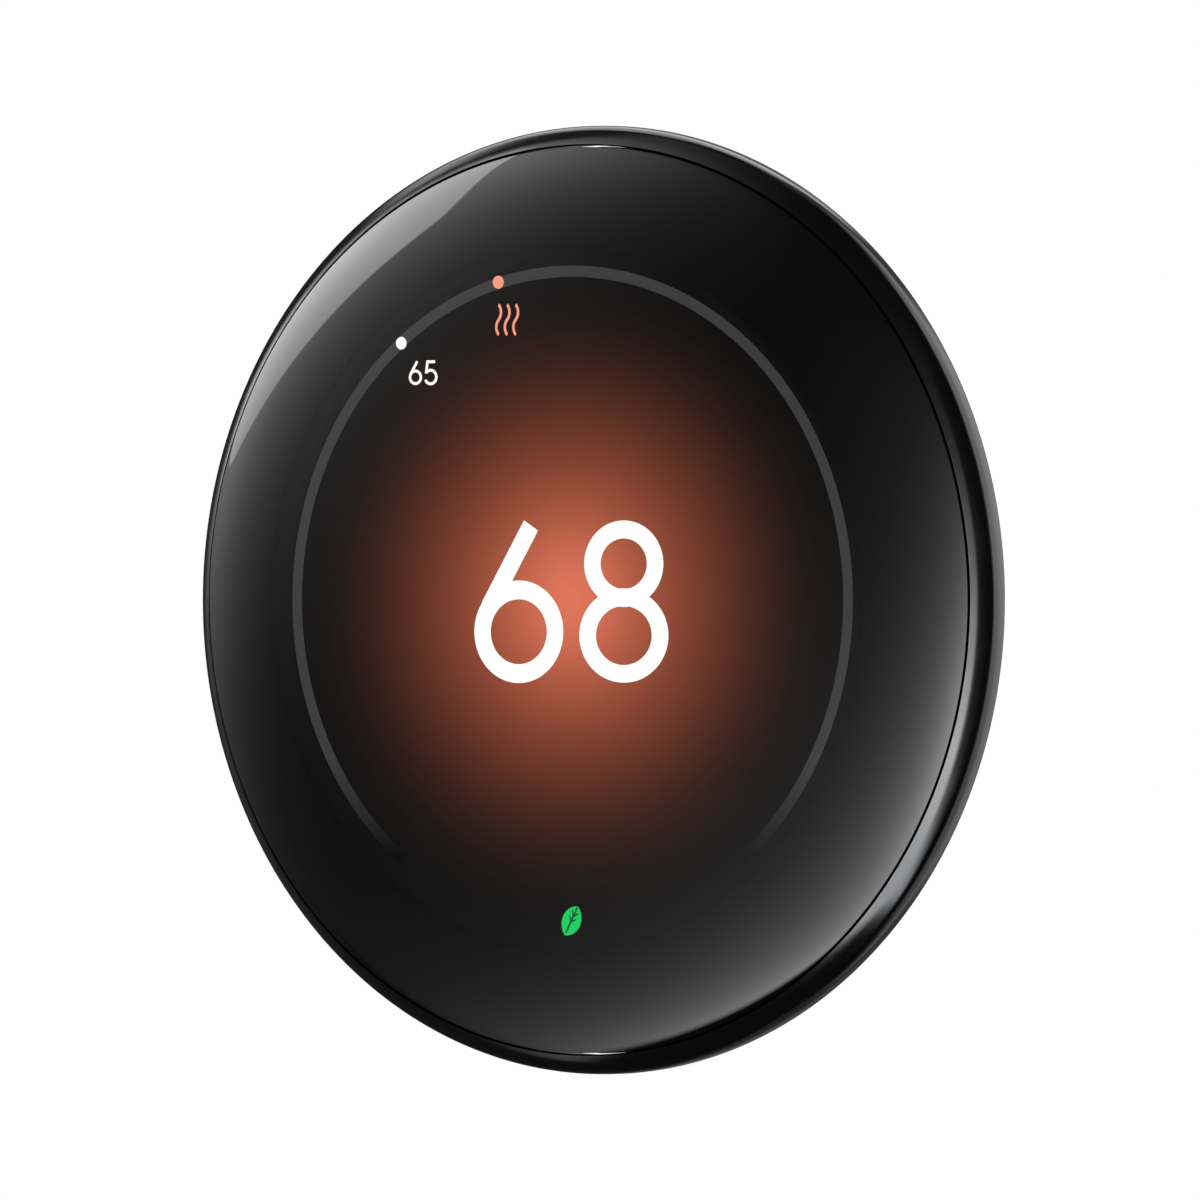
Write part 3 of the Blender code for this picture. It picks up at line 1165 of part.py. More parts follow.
def contact_strip(name, side):
    """The spring contacts of one block on their lead frame, drawn as a comb."""
    end = BLOCK_HALF_LENGTH - BLOCK_END_WALL - LOOSE_GAP
    low = BLOCK_REAR + TAPE_GAP
    bar_top = low + CONTACT_BAR
    clip_top = bar_top + CONTACT_CLIP_HEIGHT - LOOSE_GAP
    half = CONTACT_CLIP_WIDTH / 2
    outline = [(-end, low), (-end, bar_top)]
    for z in terminal_heights():
        outline += [(z - half, bar_top), (z - half, clip_top), (z + half, clip_top), (z + half, bar_top)]
    outline += [(end, bar_top), (end, low)]
    x_range = mirrored((contact_inner(), contact_inner() + CONTACT_WIDTH), side)
    bm = bmesh.new()
    face = bm.faces.new([bm.verts.new((x_range[0], -forward, z)) for z, forward in outline])
    grown = bmesh.ops.extrude_face_region(bm, geom=[face])
    moved = [item for item in grown["geom"] if isinstance(item, bmesh.types.BMVert)]
    bmesh.ops.translate(bm, verts=moved, vec=(x_range[1] - x_range[0], 0, 0))
    make_object(name, bm, BRASS, base_body)


def release_tabs():
    """One sprung tab for each terminal: pressing it lets go of the wire."""
    bm = bmesh.new()
    half_length, half_width = TAB_LENGTH / 2, TAB_WIDTH / 2
    height = TAB_FRONT - TAB_REAR
    add_box(bm, (-half_length, half_length), (-half_width, half_width), 0, height)
    front_edges = [edge for edge in bm.edges if all(vert.co.y < -height / 2 for vert in edge.verts)]
    bmesh.ops.bevel(bm, geom=front_edges, offset=0.3 * mm, segments=2, affect="EDGES", profile=0.5)
    bmesh.ops.recalc_face_normals(bm, faces=bm.faces)
    mesh = bpy.data.meshes.new("release_tab")
    bm.to_mesh(mesh)
    bm.free()
    mesh.materials.append(TAB_GREY)
    middle = BLOCK_OUTER - TAB_FROM_OUTER - half_length
    for word, side in (("left", -1), ("right", 1)):
        for index, z in enumerate(reversed(terminal_heights())):
            place = (side * middle, -TAB_REAR, z)
            object_from_mesh(f"release_tab_{word}_{index + 1}", mesh, None, base_body, place)


def base_cover():
    """The plate over the terminals, with a window for everything that has to be reached."""
    bm = bmesh.new()
    add_disc(bm, COVER_RADIUS, COVER_REAR, COVER_FRONT, steps=ROUND_STEPS)
    cover = make_object("base_cover", bm, WHITE_PLASTIC, base_body)
    rear, front = COVER_REAR - BOOLEAN_OVERLAP, COVER_FRONT + BOOLEAN_OVERLAP
    cuts = bmesh.new()
    add_outline(cuts, wire_opening_outline(BLOCK_INNER - LOOSE_GAP), rear, front)
    tab_outer = BLOCK_OUTER - TAB_FROM_OUTER + LOOSE_GAP
    tab_inner = BLOCK_OUTER - TAB_FROM_OUTER - TAB_LENGTH - LOOSE_GAP
    window_end = terminal_heights()[-1] + TAB_WIDTH / 2 + LOOSE_GAP
    for side in (-1, 1):
        x_range = mirrored((tab_inner, tab_outer), side)
        add_outline(cuts, rounded_outline(x_range, (-window_end, window_end), 0.5 * mm), rear, front)
    socket_reach = SOCKET_LENGTH / 2 + LOOSE_GAP
    socket_side = SOCKET_WIDTH / 2 + LOOSE_GAP
    z_range = (SOCKET_CENTRE - socket_side, SOCKET_CENTRE + socket_side)
    add_box(cuts, (-socket_reach, socket_reach), z_range, rear, front)
    vial_reach = VIAL_LENGTH / 2 + LOOSE_GAP
    vial_side = VIAL_RADIUS + LOOSE_GAP
    z_range = (VIAL_CENTRE - vial_side, VIAL_CENTRE + vial_side)
    add_outline(cuts, rounded_outline((-vial_reach, vial_reach), z_range, 0.5 * mm), rear, front)
    for place in wall_screw_places():
        add_disc(cuts, WALL_SCREW_HEAD, rear, front, place)
    boolean(cover, cuts, "DIFFERENCE", "base_cover_windows")
    screw_holes = bmesh.new()
    well = COVER_FRONT - COVER_SCREW_HEAD_HEIGHT
    for place in cover_screw_places():
        profile = [
            (0, rear),
            (COVER_SCREW_SHANK + SEAT_GAP, rear),
            (COVER_SCREW_SHANK + SEAT_GAP, well),
            (COVER_SCREW_HEAD + SEAT_GAP, well),
            (COVER_SCREW_HEAD + SEAT_GAP, front),
            (0, front),
        ]
        add_turned(screw_holes, profile, place, SMALL_STEPS)
    boolean(cover, screw_holes, "DIFFERENCE", "base_cover_screw_holes")


def cover_screws():
    seat = COVER_FRONT - COVER_SCREW_HEAD_HEIGHT + TAPE_GAP
    length = seat - BASE_FLOOR - 2 * LOOSE_GAP
    mesh = screw_mesh(
        "cover_screw", COVER_SCREW_HEAD, COVER_SCREW_HEAD_HEIGHT, COVER_SCREW_SHANK, length, SCREW_STEEL
    )
    for index, (x, z) in enumerate(cover_screw_places()):
        place = (x, -seat, z)
        screw = object_from_mesh(f"cover_screw_{index + 1}", mesh, None, base_body, place)
        cross_slot(screw, COVER_SCREW_HEAD, COVER_SCREW_HEAD_HEIGHT, place)


def base_socket():
    half, side = SOCKET_LENGTH / 2, SOCKET_WIDTH / 2
    z_range = (SOCKET_CENTRE - side, SOCKET_CENTRE + side)
    bm = bmesh.new()
    add_box(bm, (-half, half), z_range, BLOCK_REAR, COVER_FRONT - SEAT_GAP)
    socket = make_object("base_socket", bm, DARK_PLASTIC, base_body)
    cavity = bmesh.new()
    half -= SOCKET_WALL
    side -= SOCKET_WALL
    z_range = (SOCKET_CENTRE - side, SOCKET_CENTRE + side)
    add_box(cavity, (-half, half), z_range, BLOCK_REAR + SOCKET_FLOOR, COVER_FRONT + BOOLEAN_OVERLAP)
    boolean(socket, cavity, "DIFFERENCE", "socket_cavity")


def level_vial():
    """The bubble level's vial, a capped tube along X."""
    bm = bmesh.new()
    middle = Vector((0, -(COVER_FRONT - VIAL_RADIUS), VIAL_CENTRE))
    bmesh.ops.create_cone(
        bm,
        cap_ends=True,
        segments=SMALL_STEPS,
        radius1=VIAL_RADIUS,
        radius2=VIAL_RADIUS,
        depth=VIAL_LENGTH,
        matrix=Matrix.Translation(middle) @ Matrix.Rotation(math.pi / 2, 4, "Y"),
    )
    make_object("level_vial", bm, LEVEL_GREEN, base_body)


# ---------------------------------------------------------------- assembly

base_plate()
base_board()
terminal_block("terminal_block_left", -1)
terminal_block("terminal_block_right", 1)
contact_strip("contact_strip_left", -1)
contact_strip("contact_strip_right", 1)
release_tabs()
base_cover()
cover_screws()
base_socket()
level_vial()

rear_cover()
main_board()
battery()
battery_plug()
battery_lead()
shield("processor_shield", 1)
shield("radio_shield", -1)
usb_c_port()
head_plug()
sounder()
climate_sensor()
click_switch()
shoulder_screws()
board_screws()
return_springs()

front_chassis()
lens_tape()
lens_glass()
display_panel()
backlight()
display_tray()
display_flex()
encoder_sensor()
glide_ring()
ring_retainer()

control_ring()
ring_carrier()
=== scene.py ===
"""A wall thermostat: a turned dark metal ring round a domed glass lens, on a base that stays on the wall.

The sections follow the thermostat as it is put together, from the wall outwards. Distances in front
of the wall are called front, and they run along -Y.
"""

import math

import bmesh
import bpy
from mathutils import Matrix, Vector


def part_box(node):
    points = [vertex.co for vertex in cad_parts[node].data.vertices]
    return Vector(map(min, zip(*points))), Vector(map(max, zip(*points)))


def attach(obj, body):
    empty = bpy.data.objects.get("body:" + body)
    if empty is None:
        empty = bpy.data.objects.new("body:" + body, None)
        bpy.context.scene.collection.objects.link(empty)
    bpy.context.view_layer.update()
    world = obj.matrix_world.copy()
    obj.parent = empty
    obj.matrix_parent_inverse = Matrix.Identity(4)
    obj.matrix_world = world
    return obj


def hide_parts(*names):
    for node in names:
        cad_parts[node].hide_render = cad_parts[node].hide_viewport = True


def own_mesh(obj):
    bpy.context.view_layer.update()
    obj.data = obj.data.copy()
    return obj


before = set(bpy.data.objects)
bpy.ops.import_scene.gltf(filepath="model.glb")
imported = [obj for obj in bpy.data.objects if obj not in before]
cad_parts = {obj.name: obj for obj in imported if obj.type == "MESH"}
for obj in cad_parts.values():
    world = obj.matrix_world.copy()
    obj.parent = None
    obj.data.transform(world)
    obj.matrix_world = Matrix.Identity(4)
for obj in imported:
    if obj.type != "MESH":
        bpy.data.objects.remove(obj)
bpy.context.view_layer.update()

# ---- Base plate -----------------------------------------------------------------------------------
# The white ABS dish that two wall screws hold to the wall. It is injection moulded, with a round-
# cornered opening for the house wires, two screw slots, and round ejector marks on its back.

MM = 0.001
SHARP_EDGE = 34


def at_angle(angle, radius):
    return (radius * math.cos(math.radians(angle)), radius * math.sin(math.radians(angle)))


def spin_outline(bm, outline, steps=192, place=(0.0, 0.0)):
    """Spins an outline of (radius, front) points in mm round a line along Y."""
    x, z = place[0] * MM, place[1] * MM
    start = [bm.verts.new((x + r * MM, -f * MM, z)) for r, f in outline]
    edges = [bm.edges.new(pair) for pair in zip(start, start[1:])]
    if outline[0][0] > 0:
        edges.append(bm.edges.new((start[-1], start[0])))
    bmesh.ops.spin(
        bm, geom=start + edges, cent=(x, 0, z), axis=(0, 1, 0), angle=2 * math.pi, steps=steps, use_merge=True
    )


def pin(bm, radius, rear, front, steps=192, place=(0.0, 0.0)):
    """A round pin, disc or hole between two distances from the wall."""
    spin_outline(bm, [(0, rear), (radius, rear), (radius, front), (0, front)], steps, place)


def band(bm, inner, outer, rear, front):
    """A flat ring round the thermostat's axis."""
    spin_outline(bm, [(inner, rear), (outer, rear), (outer, front), (inner, front)])


def on_side(side, inner, outer):
    """A range in x to the left (-1) or the right (1) of the middle."""
    return sorted((side * inner, side * outer))


def plate(bm, outline, rear, front):
    """A flat plate with an outline of (x, z) points in mm between two distances from the wall."""
    face = bm.faces.new([bm.verts.new((x * MM, -rear * MM, z * MM)) for x, z in outline])
    grown = bmesh.ops.extrude_face_region(bm, geom=[face])["geom"]
    moved = [item for item in grown if isinstance(item, bmesh.types.BMVert)]
    bmesh.ops.translate(bm, verts=moved, vec=(0, (rear - front) * MM, 0))


def block(bm, x_range, z_range, rear, front, turn=0.0):
    """A box in mm, turned about the thermostat's axis."""
    wide, tall = x_range[1] - x_range[0], z_range[1] - z_range[0]
    size = Matrix.Diagonal((wide * MM, (front - rear) * MM, tall * MM, 1))
    middle = Vector((sum(x_range) / 2, -(rear + front) / 2, sum(z_range) / 2)) * MM
    place = Matrix.Rotation(math.radians(-turn), 4, "Y") @ Matrix.Translation(middle) @ size
    bmesh.ops.create_cube(bm, size=1, matrix=place)


def round_corners(x_range, z_range, corner, steps=8):
    """The outline of a rectangle with round corners."""
    (left, right), (low, high) = x_range, z_range
    centres = (
        (right - corner, high - corner, 0),
        (left + corner, high - corner, 90),
        (left + corner, low + corner, 180),
        (right - corner, low + corner, 270),
    )
    outline = []
    for x, z, first in centres:
        for step in range(steps + 1):
            dx, dz = at_angle(first + 90 * step / steps, corner)
            outline.append((x + dx, z + dz))
    return outline


def piece(name, bm, finish, sharp=SHARP_EDGE, bevel=0.0, segments=2):
    """Makes the object of a new piece, with its edges broken by a small bevel in mm."""
    bmesh.ops.remove_doubles(bm, verts=bm.verts, dist=1e-7)
    bmesh.ops.recalc_face_normals(bm, faces=bm.faces)
    mesh = bpy.data.meshes.new(name)
    bm.to_mesh(mesh)
    bm.free()
    made = bpy.data.objects.new(name, mesh)
    bpy.context.scene.collection.objects.link(made)
    mesh.shade_smooth()
    mesh.set_sharp_from_angle(angle=math.radians(sharp))
    if finish is not None:
        mesh.materials.append(finish)
    if bevel:
        soften(made, bevel, segments)
    return made


def soften(made, width, segments=2):
    broken = made.modifiers.new("broken edges", "BEVEL")
    broken.width = width * MM
    broken.segments = segments
    broken.limit_method = "ANGLE"
    broken.angle_limit = math.radians(38)
    broken.harden_normals = True


def carve(made, bm, operation="DIFFERENCE"):
    """Cuts a shape out of a piece, or joins it on, and keeps the result as the piece's mesh."""
    tool = piece("tool", bm, None)
    step = made.modifiers.new("carve", "BOOLEAN")
    step.operation = operation
    step.object = tool
    step.solver = "EXACT"
    bpy.context.view_layer.update()
    graph = bpy.context.evaluated_depsgraph_get()
    result = bpy.data.meshes.new_from_object(made.evaluated_get(graph))
    made.modifiers.remove(step)
    bpy.data.objects.remove(tool)
    made.data = result
    result.shade_smooth()
    result.set_sharp_from_angle(angle=math.radians(SHARP_EDGE))


def stands_for(made, node, body):
    """The new piece takes a CAD piece's place on its body, and the CAD piece is hidden."""
    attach(made, body)
    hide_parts(node)


def effect(name, inputs, outputs):
    """A node group with named inputs and outputs, for an effect that several finishes share."""
    tree = bpy.data.node_groups.new(name, "ShaderNodeTree")
    for label, value in inputs.items():
        kind = "NodeSocketColor" if isinstance(value, tuple) else "NodeSocketFloat"
        tree.interface.new_socket(label, in_out="INPUT", socket_type=kind).default_value = value
    for label, kind in outputs.items():
        tree.interface.new_socket(label, in_out="OUTPUT", socket_type=kind)
    return tree, tree.nodes.new("NodeGroupInput"), tree.nodes.new("NodeGroupOutput")


def fill(made, sockets):
    """Sets a node's sockets, by name or number, to values or links."""
    for label, value in sockets.items():
        if isinstance(value, bpy.types.NodeSocket):
            made.id_data.links.new(value, made.inputs[label])
        else:
            made.inputs[label].default_value = value


def node(tree, kind, **settings):
    """A node with its properties and its sockets set."""
    made = tree.nodes.new(kind)
    sockets = settings.pop("sockets", {})
    for label, value in settings.items():
        setattr(made, label, value)
    fill(made, sockets)
    return made


def own_place(tree):
    return node(tree, "ShaderNodeTexCoord").outputs["Object"]


def axes(tree, vector):
    return node(tree, "ShaderNodeSeparateXYZ", sockets={0: vector}).outputs


def sums(tree, operation, first, second=0.5, third=0.0):
    made = node(tree, "ShaderNodeMath", operation=operation, sockets={0: first, 1: second, 2: third})
    return made.outputs[0]


def spread(tree, value, low, high, to_low=0.0, to_high=1.0, smooth=False):
    made = node(
        tree,
        "ShaderNodeMapRange",
        interpolation_type="SMOOTHSTEP" if smooth else "LINEAR",
        sockets={"Value": value, 1: low, 2: high, 3: to_low, 4: to_high},
    )
    return made.outputs[0]


def noise(tree, scale, detail=2.0, vector=None, distortion=0.0):
    sockets = {"Scale": scale, "Detail": detail, "Distortion": distortion, "Vector": vector or own_place(tree)}
    return node(tree, "ShaderNodeTexNoise", sockets=sockets).outputs["Fac"]


def tint(tree, blend, factor, first, second):
    sockets = {0: factor, 6: first, 7: second}
    return node(tree, "ShaderNodeMix", data_type="RGBA", blend_type=blend, sockets=sockets).outputs[2]


# The grain of a spark-eroded mould, with the slight mottling that moulded plastic has.
mould, source, sink = effect(
    "moulded_grain",
    {"Color": (0.8, 0.8, 0.8, 1.0), "Mottling": 0.06, "Roughness": 0.45, "Grain Size": 5200.0},
    {"Color": "NodeSocketColor", "Roughness": "NodeSocketFloat", "Height": "NodeSocketFloat"},
)
cloud = noise(mould, 120.0, 4.0)
grain = noise(mould, source.outputs["Grain Size"], 3.0)
shade = spread(mould, cloud, 0.3, 0.7, -1.0, 1.0)
shade = sums(mould, "MULTIPLY_ADD", shade, source.outputs["Mottling"], 1.0)
scaled = node(mould, "ShaderNodeVectorMath", operation="SCALE", sockets={0: source.outputs["Color"], "Scale": shade})
rough = sums(mould, "MULTIPLY_ADD", sums(mould, "SUBTRACT", grain, 0.5), 0.22, source.outputs["Roughness"])
rough = sums(mould, "MULTIPLY_ADD", sums(mould, "SUBTRACT", cloud, 0.5), 0.05, rough)
fill(sink, {"Color": scaled.outputs[0], "Roughness": rough, "Height": grain})

# Wear where an outside edge has been rubbed, broken up so that it doesn't run evenly.
wear, source, sink = effect(
    "rubbed_edges",
    {"Color": (0.8, 0.8, 0.8, 1.0), "Rubbed Color": (1.0, 1.0, 1.0, 1.0), "Amount": 0.4},
    {"Color": "NodeSocketColor", "Mask": "NodeSocketFloat"},
)
edge = spread(wear, node(wear, "ShaderNodeNewGeometry").outputs["Pointiness"], 0.53, 0.62)
edge = sums(wear, "MULTIPLY", edge, spread(wear, noise(wear, 700.0, 4.0), 0.4, 0.65))
edge = sums(wear, "MULTIPLY", edge, source.outputs["Amount"])
fill(sink, {"Color": tint(wear, "MIX", edge, source.outputs["Color"], source.outputs["Rubbed Color"]), "Mask": edge})

# Fingermarks and settled dust: a change of roughness, and pale specks on what faces up.
handled, source, sink = effect(
    "fingermarks_and_dust",
    {"Color": (0.8, 0.8, 0.8, 1.0), "Roughness": 0.3, "Fingermarks": 0.05, "Dust": 0.1},
    {"Color": "NodeSocketColor", "Roughness": "NodeSocketFloat"},
)
marks = spread(handled, noise(handled, 75.0, 5.0, distortion=1.2), 0.48, 0.72)
ridges = node(
    handled, "ShaderNodeTexWave",
    sockets={"Scale": 900.0, "Distortion": 9.0, "Detail": 2.0, "Detail Scale": 0.4, "Vector": own_place(handled)},
)
marks = sums(handled, "MULTIPLY", marks, spread(handled, ridges.outputs["Fac"], 0.0, 1.0, 0.6, 1.0))
rough = sums(handled, "MULTIPLY_ADD", marks, source.outputs["Fingermarks"], source.outputs["Roughness"])
upward = axes(handled, node(handled, "ShaderNodeNewGeometry").outputs["Normal"])["Z"]
specks = spread(handled, noise(handled, 3600.0, 2.0), 0.6, 0.74)
specks = sums(handled, "MULTIPLY", specks, spread(handled, upward, -0.2, 0.9, 0.15, 1.0))
specks = sums(handled, "MULTIPLY", specks, source.outputs["Dust"])
pale = tint(handled, "MIX", specks, source.outputs["Color"], (0.55, 0.53, 0.5, 1.0))
fill(sink, {"Color": pale, "Roughness": sums(handled, "MULTIPLY_ADD", specks, 0.5, rough)})


def new_finish(name):
    made = bpy.data.materials.new(name)
    made.use_nodes = True
    tree = made.node_tree
    return made, tree, tree.nodes["Principled BSDF"]


def placed(tree, group, **values):
    """A shared effect's group in a finish, with its own values."""
    sockets = {label.replace("_", " "): value for label, value in values.items()}
    return node(tree, "ShaderNodeGroup", node_tree=group, sockets=sockets).outputs


def coat(shader, color, roughness, **plain):
    """Links a finish's colour and roughness, and sets its other values on its own shader."""
    fill(shader, {"Base Color": color, "Roughness": roughness})
    fill(shader, {label.replace("_", " "): value for label, value in plain.items()})


def raise_surface(tree, shader, height, depth):
    """Raises the surface by a height pattern, as deep as a depth in mm."""
    bump = node(tree, "ShaderNodeBump", sockets={"Height": height, "Distance": depth * MM, "Strength": 1.0})
    fill(shader, {"Normal": bump.outputs[0]})


def moulded_plastic(name, color, roughness, rubbed, grain=5200.0, depth=0.006, mottling=0.06, dust=0.05):
    """A moulded plastic: grain in the mould, mottled colour, rubbed edges, fingermarks and dust."""
    made, tree, shader = new_finish(name)
    body = placed(tree, mould, Color=(*color, 1), Mottling=mottling, Roughness=roughness, Grain_Size=grain)
    rubbing = placed(tree, wear, Color=body["Color"], Rubbed_Color=(*rubbed, 1), Amount=0.5)
    handling = placed(tree, handled, Color=rubbing["Color"], Roughness=body["Roughness"], Fingermarks=-0.08, Dust=dust)
    coat(shader, handling["Color"], handling["Roughness"])
    raise_surface(tree, shader, body["Height"], depth)
    return made


white_abs = moulded_plastic("white_abs", (0.78, 0.775, 0.75), 0.42, (0.86, 0.86, 0.84), depth=0.005, mottling=0.025)

BASE_RADIUS = 30.2
BASE_BORE = 28.6
BASE_FLOOR = 1.8
COVER_FRONT = 10.7
POST_REAR, POST_FRONT = 0.9, 9.55
COVER_SCREWS = ((25.9, 0.0), (-25.9, 0.0), (0.0, 17.4))
WALL_SLOTS = ((14.2, 20.0), (-14.2, 20.0))
WIRE_OPENING = ((-9.91, 9.91), (-12.0, 14.0))
THROUGH_FLOOR = (-0.5, 2.3)

bm = bmesh.new()
spin_outline(
    bm,
    [
        (0, 0), (27.0, 0), (27.0, 0.45), (28.9, 0.45), (28.9, 0), (BASE_RADIUS - 0.3, 0), (BASE_RADIUS, 0.3),
        (BASE_RADIUS, COVER_FRONT - 0.3), (BASE_RADIUS - 0.25, COVER_FRONT), (BASE_BORE + 0.15, COVER_FRONT),
        (BASE_BORE, COVER_FRONT - 0.15), (BASE_BORE, BASE_FLOOR + 0.4), (BASE_BORE - 0.4, BASE_FLOOR), (0, BASE_FLOOR),
    ],
)
base_plate = piece("base_dish", bm, white_abs)
bm = bmesh.new()
for place in COVER_SCREWS:
    pin(bm, 1.75, POST_REAR, POST_FRONT, 40, place)
for side in (-1, 1):
    block(bm, on_side(side, 4.0, 5.2), (21.4, 23.6), POST_REAR, 6.15)
carve(base_plate, bm, "UNION")
bm = bmesh.new()
plate(bm, round_corners(*WIRE_OPENING, 3.0), *THROUGH_FLOOR)
for x, z in WALL_SLOTS:
    plate(bm, round_corners((x - 2.8, x + 2.8), (z - 1.95, z + 1.95), 1.93), *THROUGH_FLOOR)
for place in COVER_SCREWS:
    pin(bm, 0.95, BASE_FLOOR, 10, 24, place)
carve(base_plate, bm)
bm = bmesh.new()
for turn in (-70, -38, -6, 26, 90, 154, 186, 218, 250):
    pin(bm, 1.5, -0.3, 0.16, 40, at_angle(turn, 19.5))
carve(base_plate, bm)
bm = bmesh.new()
for turn in (-86, -78, -54, -46, -22, -14, 10, 18, 74, 82, 98, 106, 162, 170, 194, 202, 226, 234):
    block(bm, (22.5, 26.2), (-0.3, 0.3), -0.3, 0.14, turn=turn)
carve(base_plate, bm)
soften(base_plate, 0.12)
stands_for(base_plate, "base_plate", "base")

# ---- Base circuit board ---------------------------------------------------------------------------
# A 1 mm glass-fibre board with a green solder mask, copper tracks under it and tinned pads. It lies
# on the dish's posts and carries the terminals and the socket.


def merged_copy(name, cad_node, finish, bevel=0.0):
    """A new piece from a CAD piece's own shape, welded, with its flat faces whole again."""
    bm = bmesh.new()
    bm.from_mesh(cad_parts[cad_node].data)
    bmesh.ops.remove_doubles(bm, verts=bm.verts, dist=2e-6)
    bmesh.ops.dissolve_limit(bm, angle_limit=math.radians(0.6), verts=bm.verts, edges=bm.edges)
    return piece(name, bm, finish, bevel=bevel)


circuit_board, tree, shader = new_finish("circuit_board")
upright = {"Vector": own_place(tree), "Rotation": (math.radians(90), 0, 0)}
flat = node(tree, "ShaderNodeMapping", sockets=upright).outputs[0]
cells = node(
    tree, "ShaderNodeTexVoronoi", distance="CHEBYCHEV", voronoi_dimensions="2D",
    sockets={"Vector": flat, "Scale": 620.0, "Randomness": 0.35},
)
tracks = node(
    tree, "ShaderNodeTexVoronoi", distance="MANHATTAN", feature="DISTANCE_TO_EDGE", voronoi_dimensions="2D",
    sockets={"Vector": flat, "Scale": 260.0},
)
parts_here = spread(tree, noise(tree, 130.0, 1.0), 0.52, 0.56)
pads = sums(tree, "MULTIPLY", spread(tree, cells.outputs["Distance"], 0.15, 0.13), parts_here)
lines = spread(tree, tracks.outputs["Distance"], 0.045, 0.035)
body = placed(tree, mould, Color=(0.012, 0.105, 0.045, 1), Mottling=0.1, Roughness=0.28, Grain_Size=2600.0)
green = tint(tree, "MIX", sums(tree, "MULTIPLY", lines, 0.6), body["Color"], (0.03, 0.2, 0.08, 1))
copper = tint(tree, "MIX", pads, green, (0.5, 0.49, 0.46, 1))
coat(shader, copper, body["Roughness"], Metallic=pads)
raise_surface(tree, shader, sums(tree, "MAXIMUM", lines, pads), 0.03)

base_board = merged_copy("base_circuit_board", "base_board", circuit_board, bevel=0.08)
stands_for(base_board, "base_board", "base")

# ---- Terminal blocks and their contacts -----------------------------------------------------------
# Two dark grey nylon blocks, each with six funnel-mouthed wire holes facing the wire opening and six
# pockets for the release tabs. A stamped brass comb runs through each.

TERMINAL_PITCH = 4.5
TERMINAL_HEIGHTS = [TERMINAL_PITCH * (index - 2.5) for index in range(6)]
BLOCK_INNER, BLOCK_OUTER = 13.51, 23.51
BLOCK_REAR, BLOCK_FRONT = 3.5, 9.4
WIRE_HOLE_FRONT = 5.2

grey_nylon = moulded_plastic("grey_nylon", (0.045, 0.046, 0.05), 0.5, (0.14, 0.14, 0.15), grain=3800.0, depth=0.008)


def bright_metal(name, color, rubbed, amount, roughness, grain, depth, mottling=0.1):
    """A metal as rolled or plated, with its edges rubbed bright."""
    made, tree, shader = new_finish(name)
    body = placed(tree, mould, Color=(*color, 1), Mottling=mottling, Roughness=roughness, Grain_Size=grain)
    rubbing = placed(tree, wear, Color=body["Color"], Rubbed_Color=(*rubbed, 1), Amount=amount)
    coat(shader, rubbing["Color"], body["Roughness"], Metallic=1.0)
    raise_surface(tree, shader, body["Height"], depth)
    return made


brass = bright_metal("stamped_brass", (0.66, 0.45, 0.17), (0.9, 0.74, 0.42), 0.6, 0.24, 9000.0, 0.003, mottling=0.12)

for word, side in (("left", -1), ("right", 1)):
    bm = bmesh.new()
    block(bm, on_side(side, BLOCK_INNER, BLOCK_OUTER), (-14.4, 14.4), BLOCK_REAR, BLOCK_FRONT)
    terminal_block = piece(f"wire_block_{word}", bm, grey_nylon)
    bm = bmesh.new()
    for z in TERMINAL_HEIGHTS:
        block(bm, on_side(side, 16.51, 22.51), (z - 1.55, z + 1.55), 6.0, 9.9)
        funnel = Matrix.Translation((side * 15.0 * MM, -WIRE_HOLE_FRONT * MM, z * MM))
        funnel = funnel @ Matrix.Rotation(side * math.pi / 2, 4, "Y")
        bmesh.ops.create_cone(
            bm, cap_ends=True, segments=32, radius1=1.35 * MM, radius2=0.75 * MM, depth=3.4 * MM, matrix=funnel
        )
    block(bm, on_side(side, 17.2, 21.4), (-13.5, 13.5), 3.1, 5.6)
    carve(terminal_block, bm)
    soften(terminal_block, 0.14)
    stands_for(terminal_block, f"terminal_block_{word}", "base")
    comb = merged_copy(f"contact_comb_{word}", f"contact_strip_{word}", brass, bevel=0.08)
    stands_for(comb, f"contact_strip_{word}", "base")

# ---- Release tabs ---------------------------------------------------------------------------------
# Twelve light grey acetal levers, one for each wire, that spring back by themselves. Each has three
# moulded finger grooves on its front.

GROOVE_PITCH, GROOVE_DEPTH = 1.25, 0.22

tab_acetal = moulded_plastic("tab_acetal", (0.3, 0.31, 0.325), 0.38, (0.45, 0.46, 0.47), grain=6800.0, depth=0.004)
for word, side in (("left", -1), ("right", 1)):
    for index, z in enumerate(reversed(TERMINAL_HEIGHTS)):
        name = f"release_tab_{word}_{index + 1}"
        low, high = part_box(name)
        left, right = low[0] / MM, high[0] / MM
        rear, front = -high[1] / MM, -low[1] / MM
        bm = bmesh.new()
        block(bm, (left, right), (z - 1.35, z + 1.35), rear, front)
        lever = piece(f"wire_tab_{word}_{index + 1}", bm, tab_acetal)
        bm = bmesh.new()
        for groove in (-1, 0, 1):
            x = (left + right) / 2 + groove * GROOVE_PITCH
            block(bm, (x - 0.3, x + 0.3), (z - 1.0, z + 1.0), front - GROOVE_DEPTH, front + 0.3)
        carve(lever, bm)
        soften(lever, 0.12)
        stands_for(lever, name, name)

# ---- Base cover -----------------------------------------------------------------------------------
# The white snap-in plate over the terminals, with windows for the wires, the tabs, the socket, the
# level and the wall screws. The terminals' numbers are pad printed beside the tabs.

COVER_REAR, COVER_RADIUS, COVER_EDGE = 9.7, 28.4, 0.2
THROUGH_COVER = (9, 11.5)

